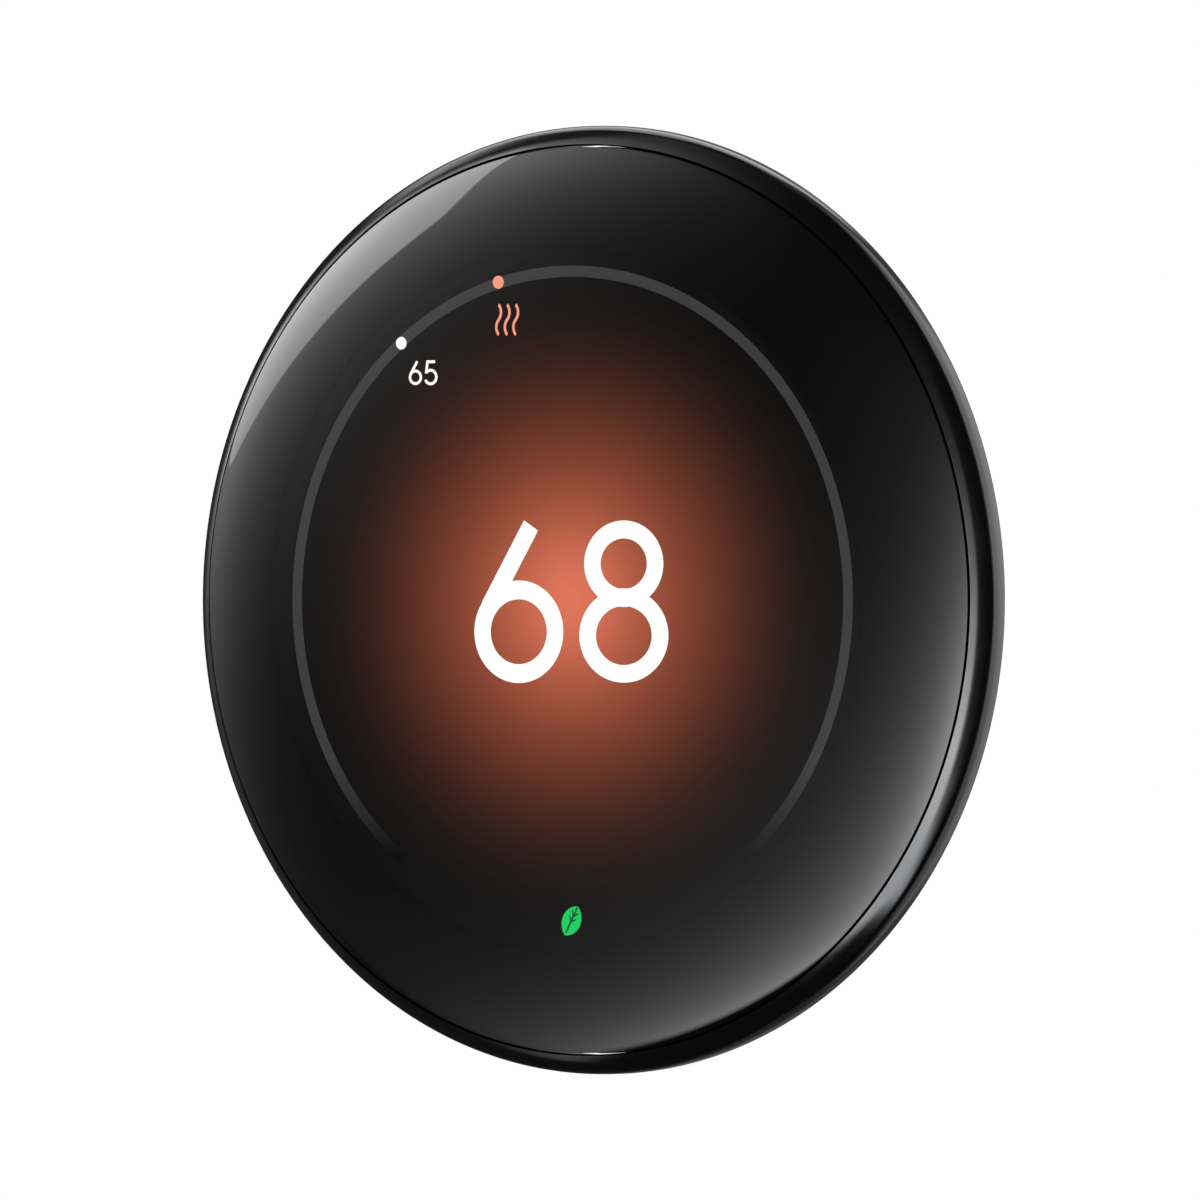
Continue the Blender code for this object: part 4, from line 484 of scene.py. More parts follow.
bm = bmesh.new()
spin_outline(
    bm,
    [
        (0, COVER_REAR), (COVER_RADIUS - COVER_EDGE, COVER_REAR), (COVER_RADIUS, COVER_REAR + COVER_EDGE),
        (COVER_RADIUS, COVER_FRONT - COVER_EDGE), (COVER_RADIUS - COVER_EDGE, COVER_FRONT), (0, COVER_FRONT),
    ],
)
base_cover = piece("terminal_cover", bm, white_abs)
bm = bmesh.new()
plate(bm, round_corners((-13.21, 13.21), WIRE_OPENING[1], 3.0), *THROUGH_COVER)
for side in (-1, 1):
    plate(bm, round_corners(on_side(side, 16.41, 22.61), (-12.9, 12.9), 0.5), *THROUGH_COVER)
plate(bm, round_corners((-9.8, 9.8), (-24.5, -17.5), 0.3), *THROUGH_COVER)
plate(bm, round_corners((-6.8, 6.8), (20.0, 25.0), 0.5), *THROUGH_COVER)
for place in WALL_SLOTS:
    pin(bm, 3.6, *THROUGH_COVER, 64, place)
carve(base_cover, bm)
bm = bmesh.new()
for place in COVER_SCREWS:
    spin_outline(bm, [(0, 9), (0.95, 9), (0.95, 10.1), (1.85, 10.1), (1.85, 11.5), (0, 11.5)], 48, place)
carve(base_cover, bm)
soften(base_cover, 0.12)
stands_for(base_cover, "base_cover", "base")

PRINT_DEPTH = 0.012


def flat_text(words, height):
    """The mesh of a short flat text, centred on the origin, with its top towards +Y."""
    letters = bpy.data.curves.new("letters", "FONT")
    letters.body = words
    letters.size = height * MM / 0.7
    letters.align_x = "CENTER"
    letters.align_y = "CENTER"
    letters.extrude = PRINT_DEPTH * MM
    holder = bpy.data.objects.new("letters", letters)
    bpy.context.scene.collection.objects.link(holder)
    bpy.context.view_layer.update()
    mesh = bpy.data.meshes.new_from_object(holder.evaluated_get(bpy.context.evaluated_depsgraph_get()))
    bpy.data.objects.remove(holder)
    return mesh


grey_ink = moulded_plastic("grey_pad_print", (0.09, 0.09, 0.1), 0.6, (0.3, 0.3, 0.3), depth=0.002, dust=0.0)
bm = bmesh.new()
for side, first in ((-1, 1), (1, 7)):
    for index, z in enumerate(reversed(TERMINAL_HEIGHTS)):
        glyphs = flat_text(str(first + index), 1.15)
        stand = Matrix.Translation((side * 14.75 * MM, -(COVER_FRONT + PRINT_DEPTH) * MM, z * MM))
        glyphs.transform(stand @ Matrix.Rotation(math.pi / 2, 4, "X"))
        bm.from_mesh(glyphs)
terminal_numbers = piece("terminal_numbers", bm, grey_ink)
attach(terminal_numbers, "base")

# ---- Cover screws ---------------------------------------------------------------------------------
# Three small zinc-plated pan-head screws with a cross recess, which hold the cover to its posts.

screw_steel = bright_metal("zinc_plated_steel", (0.46, 0.47, 0.48), (0.75, 0.74, 0.7), 0.7, 0.22, 12000.0, 0.002)


def cross_screw(name, place, head, head_height, shank, seat, end):
    """A screw with its head's underside at seat and its tip at end, with rings for its thread."""
    pitch = 0.5
    outline = [(0, end), (shank * 0.55, end)]
    level = end + 0.35
    while level < seat - 1.5 * pitch:
        outline += [(shank * 0.78, level), (shank, level + pitch * 0.45)]
        level += pitch
    outline += [(shank * 0.78, level), (shank * 0.8, seat), (head, seat), (head, seat + head_height * 0.55)]
    outline += [(head * 0.93, seat + head_height * 0.82), (head * 0.76, seat + head_height), (0, seat + head_height)]
    bm = bmesh.new()
    spin_outline(bm, outline, 48, place)
    screw = piece(name, bm, screw_steel)
    bm = bmesh.new()
    x, z = place
    reach, half = head * 0.6, head * 0.13
    floor, top = seat + head_height * 0.35, seat + head_height + 0.4
    block(bm, (x - reach, x + reach), (z - half, z + half), floor, top)
    carve(screw, bm)
    bm = bmesh.new()
    block(bm, (x - half, x + half), (z - reach, z + reach), floor, top)
    carve(screw, bm)
    soften(screw, 0.04, 1)
    return screw


for index, place in enumerate(COVER_SCREWS):
    screw = cross_screw(
        f"cover_fixing_{index + 1}", place, head=1.7, head_height=0.6, shank=0.8, seat=10.15, end=2.4
    )
    stands_for(screw, f"cover_screw_{index + 1}", "base")

# ---- Base socket ----------------------------------------------------------------------------------
# The black nylon socket that the head's plug goes into. Its mouth is chamfered, and two rows of
# brass leaves stand along its walls.

CONTACTS = [-6.3 + index * 1.8 for index in range(8)]

bm = bmesh.new()
block(bm, (-9.5, 9.5), (-24.2, -17.8), BLOCK_REAR, 10.55)
base_socket = piece("plug_socket", bm, grey_nylon)
bm = bmesh.new()
block(bm, (-8.0, 8.0), (-22.7, -19.3), 5.0, 11.0)
carve(base_socket, bm)
soften(base_socket, 0.3, 3)
stands_for(base_socket, "base_socket", "base")
bm = bmesh.new()
for x in CONTACTS:
    for z_range in ((-22.68, -22.5), (-19.5, -19.32)):
        block(bm, (x - 0.4, x + 0.4), z_range, 5.05, 9.4)
socket_leaves = piece("socket_leaves", bm, brass, bevel=0.03)
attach(socket_leaves, "base")

# ---- Level ----------------------------------------------------------------------------------------
# A clear acrylic vial of yellow-green spirit with a bubble and two black lines, for setting the base
# level on the wall. It is pressed between two saddles of the dish.

vial_acrylic, tree, shader = new_finish("vial_spirit")
body = placed(tree, mould, Color=(0.62, 0.9, 0.08, 1), Mottling=0.05, Roughness=0.04, Grain_Size=1500.0)
marks = placed(tree, handled, Color=body["Color"], Roughness=0.03, Fingermarks=0.12, Dust=0.1)
coat(shader, marks["Color"], marks["Roughness"], Transmission_Weight=0.35, IOR=1.45)
vial_bubble, tree, shader = new_finish("vial_bubble")
body = placed(tree, mould, Color=(0.9, 1.0, 0.55, 1), Mottling=0.05, Roughness=0.1, Grain_Size=900.0)
coat(shader, body["Color"], body["Roughness"])
black_line = moulded_plastic("black_line", (0.01, 0.01, 0.01), 0.5, (0.05, 0.05, 0.05), dust=0.0)

VIAL_FRONT, VIAL_HEIGHT = 8.5, 22.5
VIAL_RADIUS, VIAL_LENGTH = 2.17, 12.96


def vial_round(bm, x, radius, length):
    """A round bar along the vial."""
    place = Matrix.Translation((x * MM, -VIAL_FRONT * MM, VIAL_HEIGHT * MM)) @ Matrix.Rotation(math.pi / 2, 4, "Y")
    bmesh.ops.create_cone(
        bm, cap_ends=True, segments=64, radius1=radius * MM, radius2=radius * MM, depth=length * MM, matrix=place
    )


bm = bmesh.new()
vial_round(bm, 0, VIAL_RADIUS, VIAL_LENGTH)
vial = piece("level_tube", bm, vial_acrylic, bevel=0.3, segments=4)
stands_for(vial, "level_vial", "base")
bm = bmesh.new()
at_top = Matrix.Translation((0, -(VIAL_FRONT + 2.0) * MM, VIAL_HEIGHT * MM))
stretch = Matrix.Diagonal((1.9, 0.22, 0.95, 1))
bmesh.ops.create_uvsphere(bm, u_segments=32, v_segments=20, radius=1 * MM, matrix=at_top @ stretch)
bubble = piece("level_bubble", bm, vial_bubble)
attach(bubble, "base")
bm = bmesh.new()
for x in (-2.3, 2.3):
    vial_round(bm, x, VIAL_RADIUS + 0.02, 0.22)
level_lines = piece("level_lines", bm, black_line)
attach(level_lines, "base")

# ---- Rear cover -----------------------------------------------------------------------------------
# The black moulded bowl behind the ring: a partition closes the head, a skirt hides the base, and
# its curved side has seven vents at the bottom for the climate sensor. Fine satin mould grain.

satin_black = moulded_plastic(
    "satin_black_plastic", (0.012, 0.012, 0.013), 0.34, (0.05, 0.05, 0.05), depth=0.004, dust=0.12
)

SKIRT_OUTER, SKIRT_REAR = 32.4, 4.6
EDGE_OUTER, EDGE_FRONT = 39.2, 13.85
BOWL_WALL, BOWL_SWELL = 1.5, 1.9
PARTITION_REAR, PARTITION_FRONT = 11.6, 12.8
BOSS_REAR = 12.2
GUIDE_PLACES = [at_angle(90 + 120 * turn, 29.4) for turn in range(3)]
BOARD_SCREWS = [at_angle(angle, 30.3) for angle in (30, 150, 276)]


def bowl_side(inset, steps=24):
    """The curved side of the bowl from the skirt to the ring, moved in by a wall."""
    start, end = Vector((SKIRT_OUTER, SKIRT_REAR)), Vector((EDGE_OUTER, EDGE_FRONT))
    along = (end - start).normalized()
    outward = Vector((along.y, -along.x))
    side = []
    for step in range(steps + 1):
        share = step / steps
        side.append(tuple(start.lerp(end, share) + outward * (BOWL_SWELL * share * (1 - share) - inset)))
    return side


outer_side = bowl_side(0)
inner_side = [point for point in bowl_side(BOWL_WALL) if point[0] > SKIRT_OUTER + BOWL_WALL / 2]
inner_side[-1] = (EDGE_OUTER - BOWL_WALL, EDGE_FRONT)
bm = bmesh.new()
spin_outline(
    bm,
    [
        (0, PARTITION_REAR), (30.6, PARTITION_REAR), (30.6, SKIRT_REAR + 0.1), (30.7, SKIRT_REAR), *outer_side,
        *inner_side[::-1], (SKIRT_OUTER, inner_side[0][1]), (SKIRT_OUTER, PARTITION_FRONT), (0, PARTITION_FRONT),
    ],
)
rear_cover = piece("rear_bowl", bm, satin_black)
bm = bmesh.new()
for place in GUIDE_PLACES:
    pin(bm, 2.2, BOSS_REAR, 17.52, 48, place)
for place in BOARD_SCREWS:
    pin(bm, 1.8, BOSS_REAR, 14.5, 48, place)
carve(rear_cover, bm, "UNION")
bm = bmesh.new()
for place in GUIDE_PLACES:
    pin(bm, 1.3, PARTITION_FRONT, 18, 32, place)
for place in BOARD_SCREWS:
    pin(bm, 0.85, PARTITION_FRONT, 14.8, 32, place)
plate(bm, round_corners((-7.9, 7.9), (-22.4, -19.6), 0.3), 11, 13.4)
plate(bm, round_corners((-4.8, 4.8), (15.6, 19.4), 1.7), 11, 13.4)
for turn in range(7):
    block(bm, (33.6, 38.1), (-0.7, 0.7), 9.35, 10.75, turn=-90 + (turn - 3) * 7)
carve(rear_cover, bm)
bm = bmesh.new()
for radius in (28.6, 27.0, 25.4):
    band(bm, radius, radius + 0.4, 11, PARTITION_REAR + 0.12)
carve(rear_cover, bm)
soften(rear_cover, 0.1)
stands_for(rear_cover, "rear_cover", "head")

# ---- Head plug and charging port ------------------------------------------------------------------
# The plug is a nylon blade with gilt contacts on both sides, which goes through the partition into
# the base's socket. The port is a drawn steel shell with its tongue.

head_plug = merged_copy("blade_plug", "head_plug", grey_nylon, bevel=0.18)
stands_for(head_plug, "head_plug", "head")
bm = bmesh.new()
for x in CONTACTS:
    for z in (-22.1, -19.9):
        block(bm, (x - 0.35, x + 0.35), (z - 0.05, z + 0.05), 6.2, 11.5)
plug_contacts = piece("plug_contacts", bm, brass, bevel=0.02)
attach(plug_contacts, "head")

sheet_steel, tree, shader = new_finish("tinned_sheet_steel")
drawn_out = {"Vector": own_place(tree), "Scale": (120.0, 2000.0, 6000.0)}
rolled = node(tree, "ShaderNodeMapping", sockets=drawn_out).outputs[0]
rolling = noise(tree, 1.0, 3.0, rolled)
body = placed(tree, mould, Color=(0.56, 0.57, 0.58, 1), Mottling=0.07, Roughness=0.26, Grain_Size=7000.0)
rubbing = placed(tree, wear, Color=body["Color"], Rubbed_Color=(0.8, 0.8, 0.8, 1), Amount=0.5)
rough = sums(tree, "MULTIPLY_ADD", rolling, 0.16, sums(tree, "SUBTRACT", body["Roughness"], 0.08))
coat(shader, rubbing["Color"], rough, Metallic=1.0)
raise_surface(tree, shader, rolling, 0.003)

charging_port = merged_copy("charging_port", "usb_c_port", sheet_steel, bevel=0.06)
stands_for(charging_port, "usb_c_port", "head")

# ---- Main board and what is on it -----------------------------------------------------------------
# The head's round board, with chips and small parts soldered to its front, two pressed shield cans,
# the sounder, the climate sensor and the click switch with its white plunger.

main_board = merged_copy("head_circuit_board", "main_board", circuit_board, bevel=0.08)
stands_for(main_board, "main_board", "head")
chip_epoxy = moulded_plastic("chip_epoxy", (0.02, 0.02, 0.022), 0.55, (0.08, 0.08, 0.08), grain=9000.0, depth=0.006)
BOARD_FACE = 15.62
CHIPS = (
    (-24, 14, 4, 4), (-5, 25, 5, 3), (14, 24, 4.5, 4.5), (25, 15.5, 3, 3), (-26, -13.5, 3, 3), (20, -17, 2.5, 3.5),
)
bm = bmesh.new()
for x, z, wide, tall in CHIPS:
    block(bm, (x - wide / 2, x + wide / 2), (z - tall / 2, z + tall / 2), BOARD_FACE, 16.4)
chips = piece("board_chips", bm, chip_epoxy, bevel=0.1)
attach(chips, "head")
bm = bmesh.new()
for index in range(26):
    x, z = at_angle(index * 13.85 + 4, 26.5 + 1.6 * math.sin(index * 2.4))
    in_cut_out, by_plug = abs(z) < 9, z < -22 and x > -8
    if not in_cut_out and not by_plug:
        block(bm, (x - 0.5, x + 0.5), (z - 0.28, z + 0.28), BOARD_FACE, 16.1)
small_parts = piece("board_small_parts", bm, brass, bevel=0.05)
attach(small_parts, "head")
for cad_name, name in (("processor_shield", "processor_can"), ("radio_shield", "radio_can")):
    can = merged_copy(name, cad_name, sheet_steel, bevel=0.12)
    stands_for(can, cad_name, "head")
bm = bmesh.new()
spin_outline(
    bm,
    [(0, 15.7), (6, 15.7), (6, 16.3), (4.9, 16.9), (4.4, 16.9), (4.2, 16.8), (0.8, 16.8), (0.8, 16.5), (0, 16.5)],
    96,
    (-13, 21),
)
sounder = piece("piezo_sounder", bm, brass, bevel=0.06)
stands_for(sounder, "sounder", "head")
white_nylon = moulded_plastic("white_nylon", (0.72, 0.71, 0.67), 0.4, (0.85, 0.85, 0.82))
climate_chip = merged_copy("climate_chip", "climate_sensor", white_nylon, bevel=0.1)
stands_for(climate_chip, "climate_sensor", "head")
switch_body = merged_copy("click_switch_body", "click_switch", grey_nylon, bevel=0.1)
stands_for(switch_body, "click_switch", "head")
bm = bmesh.new()
spin_outline(bm, [(0, 16.6), (1.1, 16.6), (1.1, 17.45), (0.95, 17.6), (0, 17.6)], 48, (0, 10.4))
plunger = piece("click_plunger", bm, white_nylon)
stands_for(plunger, "click_button", "click_button")

# ---- Battery --------------------------------------------------------------------------------------
# A pouch cell in aluminium foil, with its folded seam across the top, a sleeved red lead and a white
# crimp plug. It lies in the board's cut-out, on the partition.

battery_foil, tree, shader = new_finish("battery_foil")
creases = noise(tree, 260.0, 6.0, distortion=0.8)
body = placed(tree, mould, Color=(0.62, 0.63, 0.65, 1), Mottling=0.08, Roughness=0.32, Grain_Size=2400.0)
coat(shader, body["Color"], body["Roughness"], Metallic=0.85)
raise_surface(tree, shader, creases, 0.08)
CELL_FRONT = 16.75
bm = bmesh.new()
plate(bm, round_corners((-17, 17), (-16.8, 5.2), 1.2), 12.95, CELL_FRONT)
cell = piece("pouch_cell", bm, battery_foil, bevel=0.9, segments=5)
stands_for(cell, "battery", "head")
bm = bmesh.new()
plate(bm, round_corners((-16, 16), (2.4, 4.6), 0.4), CELL_FRONT - 0.05, CELL_FRONT + 0.07)
foil_seam = piece("pouch_seam", bm, battery_foil, bevel=0.04)
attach(foil_seam, "head")
battery_plug = merged_copy("battery_crimp_plug", "battery_plug", white_nylon, bevel=0.15)
stands_for(battery_plug, "battery_plug", "head")
red_sleeve = moulded_plastic("red_sleeve", (0.5, 0.02, 0.015), 0.35, (0.6, 0.1, 0.08), grain=2500.0)
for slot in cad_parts["battery_lead"].material_slots:
    slot.material = red_sleeve

# ---- Board screws, shoulder screws and return springs ---------------------------------------------
# The small screws hold the board down. The three wide-headed ones hold the face and let it travel,
# each inside a coil of spring steel wire that pushes the face forward again.

SHOULDER_HEAD = 0.75

for index, place in enumerate(BOARD_SCREWS):
    screw = cross_screw(
        f"board_fixing_{index + 1}", place, head=1.5, head_height=0.6, shank=0.7, seat=15.7, end=13.1
    )
    stands_for(screw, f"board_screw_{index + 1}", "head")
for index, place in enumerate(GUIDE_PLACES):
    low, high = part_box(f"shoulder_screw_{index + 1}")
    screw = cross_screw(
        f"shoulder_fixing_{index + 1}", place, head=3.1, head_height=SHOULDER_HEAD, shank=1.0,
        seat=-low[1] / MM - SHOULDER_HEAD, end=-high[1] / MM,
    )
    stands_for(screw, f"shoulder_screw_{index + 1}", "head")

spring_steel, tree, shader = new_finish("spring_wire")
body = placed(tree, mould, Color=(0.5, 0.5, 0.5, 1), Mottling=0.1, Roughness=0.2, Grain_Size=15000.0)
coat(shader, body["Color"], body["Roughness"], Metallic=1.0)
raise_surface(tree, shader, body["Height"], 0.002)
COIL_TURNS, COIL_STEPS = 3, 96
COIL_REAR, COIL_FRONT, COIL_RADIUS, WIRE_RADIUS = 13.15, 16.57, 2.7, 0.2
for index, (x, z) in enumerate(GUIDE_PLACES):
    bm = bmesh.new()
    start = Matrix.Translation(((x + COIL_RADIUS) * MM, -COIL_REAR * MM, z * MM))
    bmesh.ops.create_circle(bm, cap_ends=True, radius=WIRE_RADIUS * MM, segments=12, matrix=start)
    bmesh.ops.spin(
        bm, geom=bm.verts[:] + bm.edges[:] + bm.faces[:], cent=(x * MM, 0, z * MM), axis=(0, 1, 0),
        dvec=(0, -(COIL_FRONT - COIL_REAR) * MM / COIL_STEPS, 0), angle=2 * math.pi * COIL_TURNS, steps=COIL_STEPS,
    )
    spring = piece(f"return_coil_{index + 1}", bm, spring_steel, sharp=60)
    stands_for(spring, f"return_spring_{index + 1}", "head")
    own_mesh(spring)

# ---- Chassis, retainer, glide ring and encoder ----------------------------------------------------
# The moulding that all of the face is fixed to, the ring behind that keeps the metal ring on it, the
# slippery ring that it turns against, and the reader of its notches.

black_nylon = moulded_plastic(
    "black_nylon", (0.014, 0.014, 0.015), 0.48, (0.06, 0.06, 0.06), grain=3600.0, depth=0.008
)
chassis = merged_copy("face_chassis", "front_chassis", black_nylon, bevel=0.1)
stands_for(chassis, "front_chassis", "face")
bm = bmesh.new()
spin_outline(
    bm,
    [
        (35.2, 13.0), (36.1, 13.0), (36.2, 13.1), (36.2, 14.6), (36.35, 14.75), (39.7, 14.75), (39.8, 14.85),
        (39.8, 15.4), (39.7, 15.5), (35.3, 15.5), (35.2, 15.4),
    ],
)
retainer = piece("ring_keeper", bm, satin_black)
stands_for(retainer, "ring_retainer", "face")
slippery = moulded_plastic("acetal_glide", (0.7, 0.7, 0.66), 0.3, (0.8, 0.8, 0.78), depth=0.002)
bm = bmesh.new()
band(bm, 37.6, 39.7, 18.1, 18.45)
glide = piece("glide_washer", bm, slippery, bevel=0.06)
stands_for(glide, "glide_ring", "face")
encoder = merged_copy("notch_reader", "encoder_sensor", chip_epoxy, bevel=0.12)
stands_for(encoder, "encoder_sensor", "face")

# ---- The metal ring and its carrier ---------------------------------------------------------------
# The ring is turned from steel, plated dark and polished: a narrow bevel beside the lens, a broad
# facet, a straight side and a rolled back. It is glued to a notched plastic carrier.

carrier = merged_copy("notched_carrier", "ring_carrier", grey_nylon, bevel=0.08)
stands_for(carrier, "ring_carrier", "ring")

# Faint marks left by turning and polishing, which run round the axis.
lathe, source, sink = effect(
    "turning_marks",
    {"Roughness": 0.1, "Depth of Marks": 0.04},
    {"Roughness": "NodeSocketFloat", "Height": "NodeSocketFloat"},
)
MARKS_ACROSS, MARKS_ROUND = 9000.0, 1.5


def from_axis(tree, parts):
    """How far a place is from the thermostat's axis, in metres."""
    squares = [sums(tree, "MULTIPLY", parts[label], parts[label]) for label in "XZ"]
    return sums(tree, "SQRT", sums(tree, "ADD", *squares))


parts = axes(lathe, own_place(lathe))
drawn_round = {
    0: sums(lathe, "MULTIPLY", from_axis(lathe, parts), MARKS_ACROSS),
    1: sums(lathe, "MULTIPLY", parts["Y"], MARKS_ACROSS),
    2: sums(lathe, "MULTIPLY", sums(lathe, "ARCTAN2", parts["Z"], parts["X"]), MARKS_ROUND),
}
streaks = noise(lathe, 1.0, 4.0, node(lathe, "ShaderNodeCombineXYZ", sockets=drawn_round).outputs[0])
uneven = sums(lathe, "SUBTRACT", streaks, 0.5)
rough = sums(lathe, "MULTIPLY_ADD", uneven, source.outputs["Depth of Marks"], source.outputs["Roughness"])
fill(sink, {"Height": streaks, "Roughness": rough})

dark_metal, tree, shader = new_finish("polished_dark_plating")
turning = placed(tree, lathe, Roughness=0.13, Depth_of_Marks=0.06)
cloud = spread(tree, noise(tree, 55.0, 3.0), 0.35, 0.65)
plating = tint(tree, "MIX", cloud, (0.05, 0.051, 0.054, 1), (0.06, 0.0595, 0.059, 1))
rubbing = placed(tree, wear, Color=plating, Rubbed_Color=(0.16, 0.16, 0.165, 1), Amount=0.35)
handling = placed(tree, handled, Color=rubbing["Color"], Roughness=turning["Roughness"], Fingermarks=0.05, Dust=0.03)
coat(shader, handling["Color"], handling["Roughness"], Metallic=1.0)
raise_surface(tree, shader, turning["Height"], 0.0006)


def roll(start, end, first, last, steps):
    """Points of a curve between two points whose surface turns from one facing angle to another.

    A facing angle is 0 where the surface faces the front and 90 where it faces outwards."""
    slopes = [math.radians(first + (last - first) * (step + 0.5) / steps) for step in range(steps)]
    across = [math.cos(slope) for slope in slopes]
    back = [math.sin(slope) for slope in slopes]
    points, r, f = [start], start[0], start[1]
    for dr, df in zip(across, back):
        r += dr * (end[0] - start[0]) / sum(across)
        f += df * (end[1] - start[1]) / sum(back)
        points.append((r, f))
    return points


bevel_inner = (40.36, 20.35)
bevel_outer = (40.9, 19.9)
facet_outer = (41.6, 19.2)
side_front = (42.0, 18.15)
side_rear = (42.0, 17.4)
back_edge = (41.72, 16.9)
bm = bmesh.new()
spin_outline(
    bm,
    [
        (40.3, 15.95), (40.3, 19.75), (40.22, 19.8), (40.22, 20.22), *roll(bevel_inner, bevel_outer, 38, 42, 4),
        *roll(bevel_outer, facet_outer, 43.5, 46.5, 6)[1:], *roll(facet_outer, side_front, 50, 90, 12)[1:],
        *roll(side_rear, back_edge, 92, 138, 8), (40.55, 16.05), (40.45, 15.95),
    ],
    steps=256,
)
control_ring = piece("turned_ring", bm, dark_metal, sharp=16)
stands_for(control_ring, "control_ring", "ring")

# ---- Display --------------------------------------------------------------------------------------
# A round panel over its light guide in a pressed steel tray, and the amber flat cable to the board.
# The panel's warm glow is brightest behind the numbers and dies away before its edge.

tray = merged_copy("pressed_tray", "display_tray", sheet_steel, bevel=0.1)
stands_for(tray, "display_tray", "face")
diffuser = moulded_plastic("light_guide_acrylic", (0.82, 0.82, 0.8), 0.2, (0.9, 0.9, 0.9), grain=1800.0, depth=0.01)
PANEL_RADIUS, PANEL_FRONT = 32.8, 22.42
bm = bmesh.new()
pin(bm, PANEL_RADIUS, 19.77, 21.07)
light_guide = piece("light_guide", bm, diffuser, bevel=0.12)
stands_for(light_guide, "backlight", "face")

flex_film, tree, shader = new_finish("amber_flex_film")
lanes = node(tree, "ShaderNodeTexWave", bands_direction="X", sockets={"Vector": own_place(tree), "Scale": 450.0})
body = placed(tree, mould, Color=(0.42, 0.17, 0.025, 1), Mottling=0.08, Roughness=0.3, Grain_Size=1500.0)
lane_color = tint(tree, "MIX", spread(tree, lanes.outputs["Fac"], 0.4, 0.6), body["Color"], (0.6, 0.3, 0.08, 1))
coat(shader, lane_color, body["Roughness"])
raise_surface(tree, shader, lanes.outputs["Fac"], 0.01)
FLEX_LEFT, FLEX_WIDTH, FLEX_BEND = -6, 6, 0.7
low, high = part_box("display_flex")
top, head_front = high[2] / MM, -low[1] / MM
bottom, foot_rear = low[2] / MM + 0.125, -high[1] / MM + 0.125
path = [(top, foot_rear), (bottom + FLEX_BEND, foot_rear)]
for step in range(1, 9):
    dz, df = at_angle(-90 - 90 * step / 8, FLEX_BEND)
    path.append((bottom + FLEX_BEND + dz, foot_rear + FLEX_BEND + df))
path.append((bottom, head_front))
bm = bmesh.new()
line = [bm.verts.new((FLEX_LEFT * MM, -f * MM, z * MM)) for z, f in path]
run = [bm.edges.new(pair) for pair in zip(line, line[1:])]
grown = bmesh.ops.extrude_edge_only(bm, edges=run)["geom"]
moved = [item for item in grown if isinstance(item, bmesh.types.BMVert)]
bmesh.ops.translate(bm, verts=moved, vec=(FLEX_WIDTH * MM, 0, 0))
flex = piece("flat_cable", bm, flex_film)
film = flex.modifiers.new("film", "SOLIDIFY")
film.thickness = 0.2 * MM
film.offset = 0
stands_for(flex, "display_flex", "head")
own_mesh(flex)


def light_from(value):
    """The linear colour of a screen colour given as 0 to 255."""
    return tuple(((v / 255 + 0.055) / 1.055) ** 2.4 if v > 10 else v / 255 / 12.92 for v in value) + (1.0,)


GLOW_RADIUS, GLOW_STEPS = 29.0, 12
GLOW_HALO, GLOW_CORE, CORE_WIDTH = (191, 95, 65), (36, 25, 27), 0.266


def glow_at(share):
    """The glow's colour at a share of its radius: a wide halo with a small, warmer core."""
    halo, core = (1 - share**1.56) ** 1.37, math.exp(-((share / CORE_WIDTH) ** 2))
    return light_from([wide * halo + near * core for wide, near in zip(GLOW_HALO, GLOW_CORE)])


panel_glow, tree, shader = new_finish("display_panel_glow")
across = from_axis(tree, axes(tree, own_place(tree)))
ramp = node(tree, "ShaderNodeValToRGB", sockets={0: sums(tree, "DIVIDE", across, GLOW_RADIUS * MM)})
stops = ramp.color_ramp.elements
stops[0].color, stops[1].color = glow_at(0), glow_at(1)
for step in range(1, GLOW_STEPS):
    stops.new(step / GLOW_STEPS).color = glow_at(step / GLOW_STEPS)
body = placed(tree, mould, Color=(0.003, 0.003, 0.003, 1), Mottling=0.1, Roughness=0.35, Grain_Size=9000.0)
coat(shader, body["Color"], body["Roughness"], Specular_IOR_Level=0.0)
fill(shader, {"Emission Color": ramp.outputs["Color"], "Emission Strength": 1.0})
bm = bmesh.new()
pin(bm, PANEL_RADIUS, 21.22, PANEL_FRONT)
panel = piece("screen_panel", bm, panel_glow, bevel=0.08)
stands_for(panel, "display_panel", "face")

# ---- What the screen shows ------------------------------------------------------------------------
# Lit shapes just in front of the panel: the room temperature, the set temperature by its mark on the
# dial's arc, heat waves and a leaf. Each is a thin flat shape, drawn with round or straight strokes.

SCREEN = PANEL_FRONT + 0.01
NEXT_LAYER = 0.014


def lit_finish(name, color, strength, fade=None):
    """Light from the panel's own cells: a fine grid shows in its brightness, close up."""
    made, tree, shader = new_finish(name)
    cell_grid = {"Vector": own_place(tree), "Scale": 9000.0, "Randomness": 0.0}
    cells = node(tree, "ShaderNodeTexVoronoi", sockets=cell_grid)
    grid = spread(tree, cells.outputs["Distance"], 0.2, 0.7, 1.0, 0.93)
    if fade:
        height = axes(tree, own_place(tree))["Z"]
        grid = sums(tree, "MULTIPLY", grid, spread(tree, height, fade[0] * MM, fade[1] * MM))
    glow = node(tree, "ShaderNodeVectorMath", operation="SCALE", sockets={0: color[:3], "Scale": grid})
    fill(shader, {"Emission Color": glow.outputs[0], "Emission Strength": strength})
    fill(shader, {"Base Color": (0, 0, 0, 1), "Specular IOR Level": 0.0})
    return made


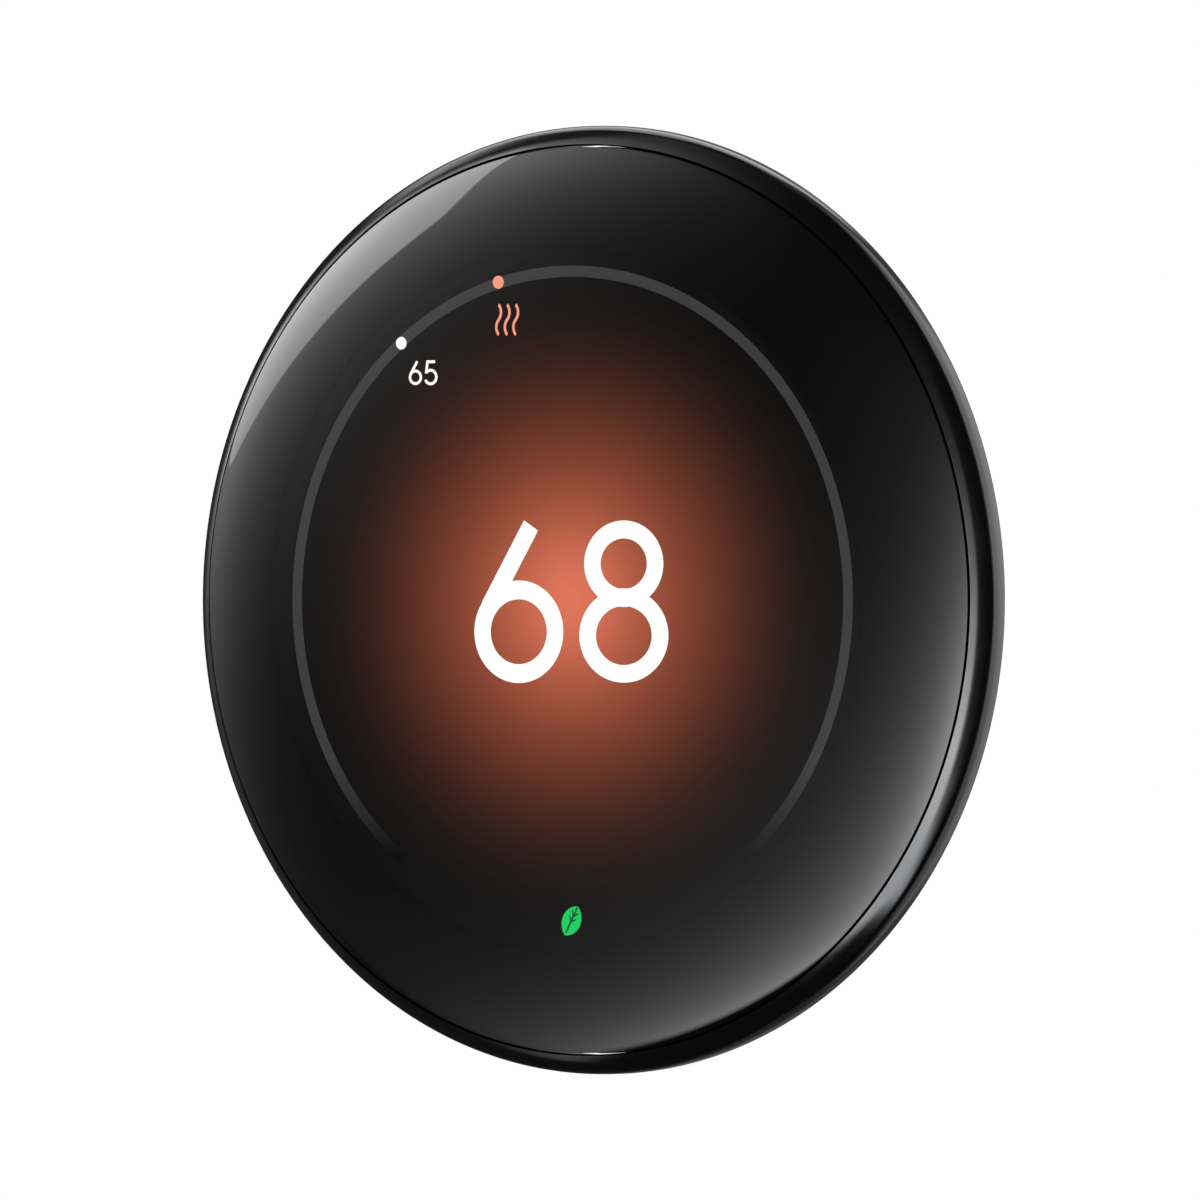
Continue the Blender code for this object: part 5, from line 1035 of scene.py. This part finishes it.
def stroke_arc(bm, centre, radii, width, first=0.0, last=360.0, steps=96, lift=0.0):
    """A curved stroke of even width: a short edge spun about its centre, then stretched to an oval."""
    own = bmesh.new()
    ends = []
    for side in (-1, 1):
        x, z = at_angle(first, radii[0] + side * width / 2)
        ends.append(own.verts.new((x, 0, z)))
    bmesh.ops.spin(
        own, geom=[*ends, own.edges.new(ends)], cent=(0, 0, 0), axis=(0, -1, 0), angle=math.radians(last - first),
        steps=steps, use_merge=abs(last - first) >= 360,
    )
    bmesh.ops.scale(own, verts=own.verts, vec=(1, 1, radii[1] / radii[0]))
    place_strokes(bm, own, centre, lift)


def stroke_line(bm, start, end, width, lift=0.0, round_ends=False):
    """A straight stroke between two points."""
    own = bmesh.new()
    run = Vector((end[0] - start[0], 0, end[1] - start[1]))
    turn = Matrix.Rotation(-math.atan2(run.z, run.x), 4, "Y")
    upright = Matrix.Rotation(math.pi / 2, 4, "X")
    stretch = Matrix.Diagonal((run.length / 2, 1, width / 2, 1))
    bmesh.ops.create_grid(own, x_segments=1, y_segments=1, size=1, matrix=turn @ stretch @ upright)
    if round_ends:
        for side in (-1, 1):
            end_place = turn @ Matrix.Translation((side * run.length / 2, 0, 0)) @ upright
            bmesh.ops.create_circle(own, cap_ends=True, segments=24, radius=width / 2, matrix=end_place)
    place_strokes(bm, own, ((start[0] + end[0]) / 2, (start[1] + end[1]) / 2), lift)


def place_strokes(bm, own, centre, lift):
    """Adds strokes drawn in mm round the origin to a shape, at their place on the screen."""
    bmesh.ops.translate(own, verts=own.verts, vec=(centre[0], 0, centre[1]))
    bmesh.ops.scale(own, verts=own.verts, vec=(MM, MM, MM))
    bmesh.ops.translate(own, verts=own.verts, vec=(0, -(SCREEN + lift) * MM, 0))
    passed = bpy.data.meshes.new("strokes")
    own.to_mesh(passed)
    own.free()
    bm.from_mesh(passed)


def shown(name, bm, finish):
    """A lit shape, given a little thickness."""
    made = piece(name, bm, finish)
    skin = made.modifiers.new("skin", "SOLIDIFY")
    skin.thickness = 0.012 * MM
    skin.offset = 0
    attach(made, "face")


def draw_six(bm, centre, scale, width):
    """A six: an oval bowl with a straight stem that runs into its left side."""
    x, z = centre
    stroke_arc(bm, (x, z - 2.8 * scale), (3.83 * scale, 3.7 * scale), width)
    start = (x + 1.3 * scale, z + 6.58 * scale)
    stroke_line(bm, start, (x - 3.14 * scale, z - 0.62 * scale), width, lift=NEXT_LAYER)


warm_white = lit_finish("screen_warm_white", light_from((255, 255, 249)), 1.15)
LARGE_STROKE, SMALL_STROKE, WAVE_STROKE = 1.72, 0.25, 0.24

bm = bmesh.new()
draw_six(bm, (-5.5, 0.0), 1.0, LARGE_STROKE)
stroke_arc(bm, (5.55, 3.2), (3.29, 3.02), LARGE_STROKE)
stroke_arc(bm, (5.57, -3.13), (3.8, 3.38), LARGE_STROKE + 0.02, lift=NEXT_LAYER)
shown("room_temperature", bm, warm_white)

bm = bmesh.new()
draw_six(bm, (-16.45, 20.1), 0.15, SMALL_STROKE)
stroke_line(bm, (-15.2, 21.05), (-14.38, 21.05), SMALL_STROKE)
stroke_line(bm, (-15.15, 21.17), (-15.31, 20.02), SMALL_STROKE, lift=NEXT_LAYER)
stroke_arc(bm, (-14.82, 19.7), (0.6, 0.6), SMALL_STROKE, -155, 140, 48, lift=2 * NEXT_LAYER)
shown("set_temperature", bm, warm_white)

bm = bmesh.new()
stroke_arc(bm, (-17.95, 22.7), (0.28, 0.28), 0.55, lift=0.03)
shown("set_mark", bm, warm_white)

salmon = lit_finish("screen_salmon", light_from((249, 160, 131)), 1.05)
bm = bmesh.new()
stroke_arc(bm, (-7.7, 28.05), (0.29, 0.29), 0.57, lift=0.03)
for x in (-7.62, -6.72, -5.82):
    stroke_arc(bm, (x - 0.42, 25.4), (0.62, 0.8), WAVE_STROKE, -55, 55, 24)
    stroke_arc(bm, (x + 0.34, 24.08), (0.62, 0.8), WAVE_STROKE, 125, 235, 24, lift=NEXT_LAYER)
shown("heat_waves", bm, salmon)

leaf_green = lit_finish("screen_green", light_from((22, 210, 99)), 1.0)
LEAF_LENGTH, LEAF_WIDTH, LEAF_LEAN, LEAF_MIDDLE = 2.9, 1.95, 62, -28.3
bow = (LEAF_LENGTH**2 / LEAF_WIDTH + LEAF_WIDTH) / 4
open_angle = 2 * math.asin(LEAF_LENGTH / 2 / bow)
own = bmesh.new()
for side in (-1, 1):
    tip = own.verts.new((0, 0, -LEAF_LENGTH / 2))
    middle = (-side * (bow - LEAF_WIDTH / 2), 0, 0)
    bmesh.ops.spin(own, geom=[tip], cent=middle, axis=(0, -side, 0), angle=open_angle, steps=24)
bmesh.ops.remove_doubles(own, verts=own.verts, dist=1e-4)
bmesh.ops.contextual_create(own, geom=own.edges[:])
bmesh.ops.rotate(
    own, verts=own.verts, cent=(0, 0, 0), matrix=Matrix.Rotation(math.radians(90 - LEAF_LEAN), 3, "Y")
)
bm = bmesh.new()
place_strokes(bm, own, (0.0, LEAF_MIDDLE), 0.0)
shown("leaf", bm, leaf_green)

leaf_shadow = lit_finish("screen_leaf_vein", (0.0, 0.06, 0.02, 1.0), 1.0)
bm = bmesh.new()
for along, branch in ((-0.1, 40), (0.45, 38), (-0.1, -40), (0.45, -38)):
    x, z = at_angle(LEAF_LEAN, along)
    dx, dz = at_angle(LEAF_LEAN + branch, 0.55)
    z += LEAF_MIDDLE
    stroke_line(bm, (x, z), (x + dx, z + dz), 0.13, lift=0.02, round_ends=True)
stroke_line(bm, (-0.55, -29.3), (0.62, -27.15), 0.16, lift=0.034, round_ends=True)
shown("leaf_veins", bm, leaf_shadow)

arc_grey = lit_finish("screen_arc_grey", light_from((60, 60, 60)), 1.0, fade=(-22.5, -14.0))
bm = bmesh.new()
stroke_arc(bm, (0, 0), (29.0, 29.0), 1.0, -52, 232, 256)
shown("dial_arc", bm, arc_grey)

# ---- Lens -----------------------------------------------------------------------------------------
# A dome of clear glass, polished outside and coated against reflections inside, with black printing
# on its inner face from the display's edge outwards. A ring of black tape bonds it to the chassis.

tape = moulded_plastic("bonding_tape", (0.008, 0.008, 0.008), 0.75, (0.03, 0.03, 0.03), grain=2200.0, depth=0.02)
bm = bmesh.new()
band(bm, 38.8, 39.9, 19.8, 20.0)
lens_tape = piece("bonding_tape_ring", bm, tape)
stands_for(lens_tape, "lens_tape", "face")

LENS_RADIUS, LENS_BOTTOM, LENS_FRONT = 40.1, 20.05, 27.0
OUTER_SWELL, OUTER_HEIGHT = 40.9, 7.47
INNER_RADIUS, INNER_HEIGHT = 38.8, 5.85
PRINT_FROM = 30.9
CLEAR_UP_TO = 31.2
GLASS_IOR = 1.5


def dome(radius, swell, height, top, steps):
    """A dome's points from its edge to its top: full in the middle and rolled down at its edge.

    It is the part inside the radius of a dome that is as wide as the swell."""
    points = []
    for step in range(steps + 1):
        out = max(radius * math.cos(math.pi / 2 * step / steps), 0.0)
        points.append((out, top - height * (1 - (1 - (out / swell) ** 2.4) ** 0.7)))
    points[-1] = (0, top)
    return points


clear_glass, tree, shader = new_finish("lens_glass")
marks = placed(tree, handled, Color=(1, 1, 1, 1), Roughness=0.0, Fingermarks=0.004, Dust=0.0)
coat(shader, marks["Color"], marks["Roughness"], Transmission_Weight=1.0, IOR=GLASS_IOR)
printed_glass, tree, shader = new_finish("lens_over_print")
body = placed(tree, mould, Color=(0.0015, 0.0015, 0.0017, 1), Mottling=0.1, Roughness=0.0, Grain_Size=3000.0)
marks = placed(tree, handled, Color=body["Color"], Roughness=0.0, Fingermarks=0.03, Dust=0.0)
coat(shader, marks["Color"], marks["Roughness"], IOR=GLASS_IOR)
coated_glass, tree, shader = new_finish("lens_coated_inside")
marks = placed(tree, handled, Color=(1, 1, 1, 1), Roughness=0.0, Fingermarks=0.003, Dust=0.0)
coat(shader, marks["Color"], marks["Roughness"], Transmission_Weight=1.0, IOR=GLASS_IOR)
fill(shader, {"Specular Tint": (0, 0, 0, 1)})
black_print, tree, shader = new_finish("lens_black_print")
body = placed(tree, mould, Color=(0.002, 0.002, 0.0022, 1), Mottling=0.1, Roughness=0.6, Grain_Size=6000.0)
coat(shader, body["Color"], body["Roughness"], Specular_IOR_Level=0.0)

outer = dome(LENS_RADIUS, OUTER_SWELL, OUTER_HEIGHT, LENS_FRONT, 72)
inner = dome(INNER_RADIUS, INNER_RADIUS, INNER_HEIGHT, LENS_BOTTOM + INNER_HEIGHT, 60)
bm = bmesh.new()
rim = [(LENS_RADIUS, LENS_BOTTOM + 0.05), (LENS_RADIUS - 0.05, LENS_BOTTOM)]
spin_outline(bm, [*outer[::-1], *rim, *inner], steps=256)
lens = piece("domed_lens", bm, clear_glass, sharp=30)
for finish in (coated_glass, black_print, printed_glass):
    lens.data.materials.append(finish)
COATED, PRINT, OVER_PRINT = 1, 2, 3
for face in lens.data.polygons:
    out = math.hypot(face.center.x, face.center.z) / MM
    looks_back, looks_sideways = face.normal.y > 1e-6, face.normal.y > -0.3
    if looks_back:
        face.material_index = PRINT if out > PRINT_FROM else COATED
    elif looks_sideways:
        face.material_index = PRINT
    elif out > CLEAR_UP_TO:
        face.material_index = OVER_PRINT
stands_for(lens, "lens_glass", "face")

# ---- Floor, light and camera ----------------------------------------------------------------------
# A pale floor well below the wall unit, a white surround, and soft light: a tall softbox at the upper
# left, a broad low light from the right and below, and white walls behind.

floor_paint, tree, shader = new_finish("pale_floor")
body = placed(tree, mould, Color=(0.85, 0.85, 0.84, 1), Mottling=0.02, Roughness=0.6, Grain_Size=400.0)
coat(shader, body["Color"], body["Roughness"])
FLOOR_BELOW, FLOOR_HALF = 0.3, 0.6
bm = bmesh.new()
bmesh.ops.create_grid(
    bm, x_segments=1, y_segments=1, size=FLOOR_HALF, matrix=Matrix.Translation((0, 0, -FLOOR_BELOW))
)
floor = piece("floor", bm, floor_paint)
floor.visible_glossy = False
floor.visible_diffuse = False
floor.visible_transmission = False

world = bpy.data.worlds.new("studio")
bpy.context.scene.world = world
world.use_nodes = True
tree = world.node_tree
tree.nodes.clear()
way = node(tree, "ShaderNodeTexCoord").outputs["Generated"]
parts = axes(tree, way)


def times(*values):
    total = values[0]
    for value in values[1:]:
        total = sums(tree, "MULTIPLY", total, value)
    return total


def plus(*values):
    total = values[0]
    for value in values[1:]:
        total = sums(tree, "ADD", total, value)
    return total


def ramp_up(value, low, high, to_low=0.0, to_high=1.0):
    """A smooth rise from one value to another between two angles."""
    return spread(tree, value, low, high, to_low, to_high, smooth=True)


def between(value, low, high, blur):
    """1 between two angles and 0 outside, with blurred edges."""
    return times(ramp_up(value, low - blur, low + blur), ramp_up(value, high - blur, high + blur, 1.0, 0.0))


def soft_glow(azimuth, elevation, strength, tightness):
    """A glow round one direction, measured from the front towards the right, and up."""
    a, e = math.radians(azimuth), math.radians(elevation)
    middle = (math.sin(a) * math.cos(e), -math.cos(a) * math.cos(e), math.sin(e))
    facing = node(tree, "ShaderNodeVectorMath", operation="DOT_PRODUCT", sockets={0: way, 1: middle}).outputs["Value"]
    return times(sums(tree, "EXPONENT", times(sums(tree, "SUBTRACT", facing, 1.0), tightness)), strength)


def off_centre(value, centre, half):
    """How far a direction is from a softbox's middle, 1 at its edge, for a box with full corners."""
    share = sums(tree, "DIVIDE", sums(tree, "SUBTRACT", value, centre), half)
    return sums(tree, "POWER", sums(tree, "ABSOLUTE", share), 1.55)


# Angles in degrees: bearing from the front towards the right, and height above the horizon.
bearing = times(sums(tree, "ARCTAN2", parts["X"], times(parts["Y"], -1.0)), 180 / math.pi)
height = times(sums(tree, "ARCSINE", parts["Z"]), 180 / math.pi)

front_light = times(
    plus(soft_glow(52, -27, 7.2, 7.2), soft_glow(1, -69, 5.4, 8.9), soft_glow(-63, 43, 1.4, 14.8)),
    between(bearing, -86, 50.5, 2.5),
    ramp_up(height, -58.0, -52.0),
)
softbox = times(
    ramp_up(plus(off_centre(bearing, -97.0, 37.0), off_centre(height, 29.5, 21.5)), 0.98, 1.02, 1.0, 0.0),
    spread(tree, height, 9.0, 26.0, 1.5, 3.3),
)
slanted = sums(tree, "MULTIPLY_ADD", height, -0.67, bearing)
left_light = times(plus(softbox, soft_glow(-89, 26, 2.3, 13.4)), ramp_up(slanted, -120.0, -113.0))
right_wall = times(
    between(bearing, 98, 170, 9), between(height, -60, 62, 12), spread(tree, height, -30.0, 5.0, 0.9, 2.0)
)
left_wall = times(between(bearing, -170, -104, 5), between(height, 30, 66, 6), 2.4)
back_wall = spread(tree, sums(tree, "ABSOLUTE", bearing), 138.0, 150.0, 0.0, 0.16)
total = plus(front_light, left_light, plus(right_wall, left_wall, back_wall), 0.05)
surround = node(tree, "ShaderNodeBackground", sockets={"Color": total, "Strength": 1.0})
backdrop = node(tree, "ShaderNodeBackground", sockets={"Color": (1, 1, 1, 1), "Strength": 1.0})
seen = node(tree, "ShaderNodeLightPath").outputs["Is Camera Ray"]
mixed = node(tree, "ShaderNodeMixShader", sockets={0: seen, 1: surround.outputs[0], 2: backdrop.outputs[0]})
node(tree, "ShaderNodeOutputWorld", sockets={0: mixed.outputs[0]})
world.cycles.sampling_method = "MANUAL"
world.cycles.sample_map_resolution = 1024

bpy.context.scene.view_settings.view_transform = "Standard"

# A very long lens from far away shows the thermostat almost without perspective.
CAMERA_SIDE = math.radians(33.2)
CAMERA_DISTANCE = 3.5421
aim = Vector((0, -18.15 * MM, 0))
lens_data = bpy.data.cameras.new("front_right")
lens_data.lens = 1200
lens_data.sensor_width = 36
lens_data.clip_end = 20
camera = bpy.data.objects.new("front_right", lens_data)
bpy.context.scene.collection.objects.link(camera)
camera.location = aim + CAMERA_DISTANCE * Vector((math.sin(CAMERA_SIDE), -math.cos(CAMERA_SIDE), 0))
camera.rotation_euler = (math.pi / 2, 0, CAMERA_SIDE)
bpy.context.scene.camera = camera
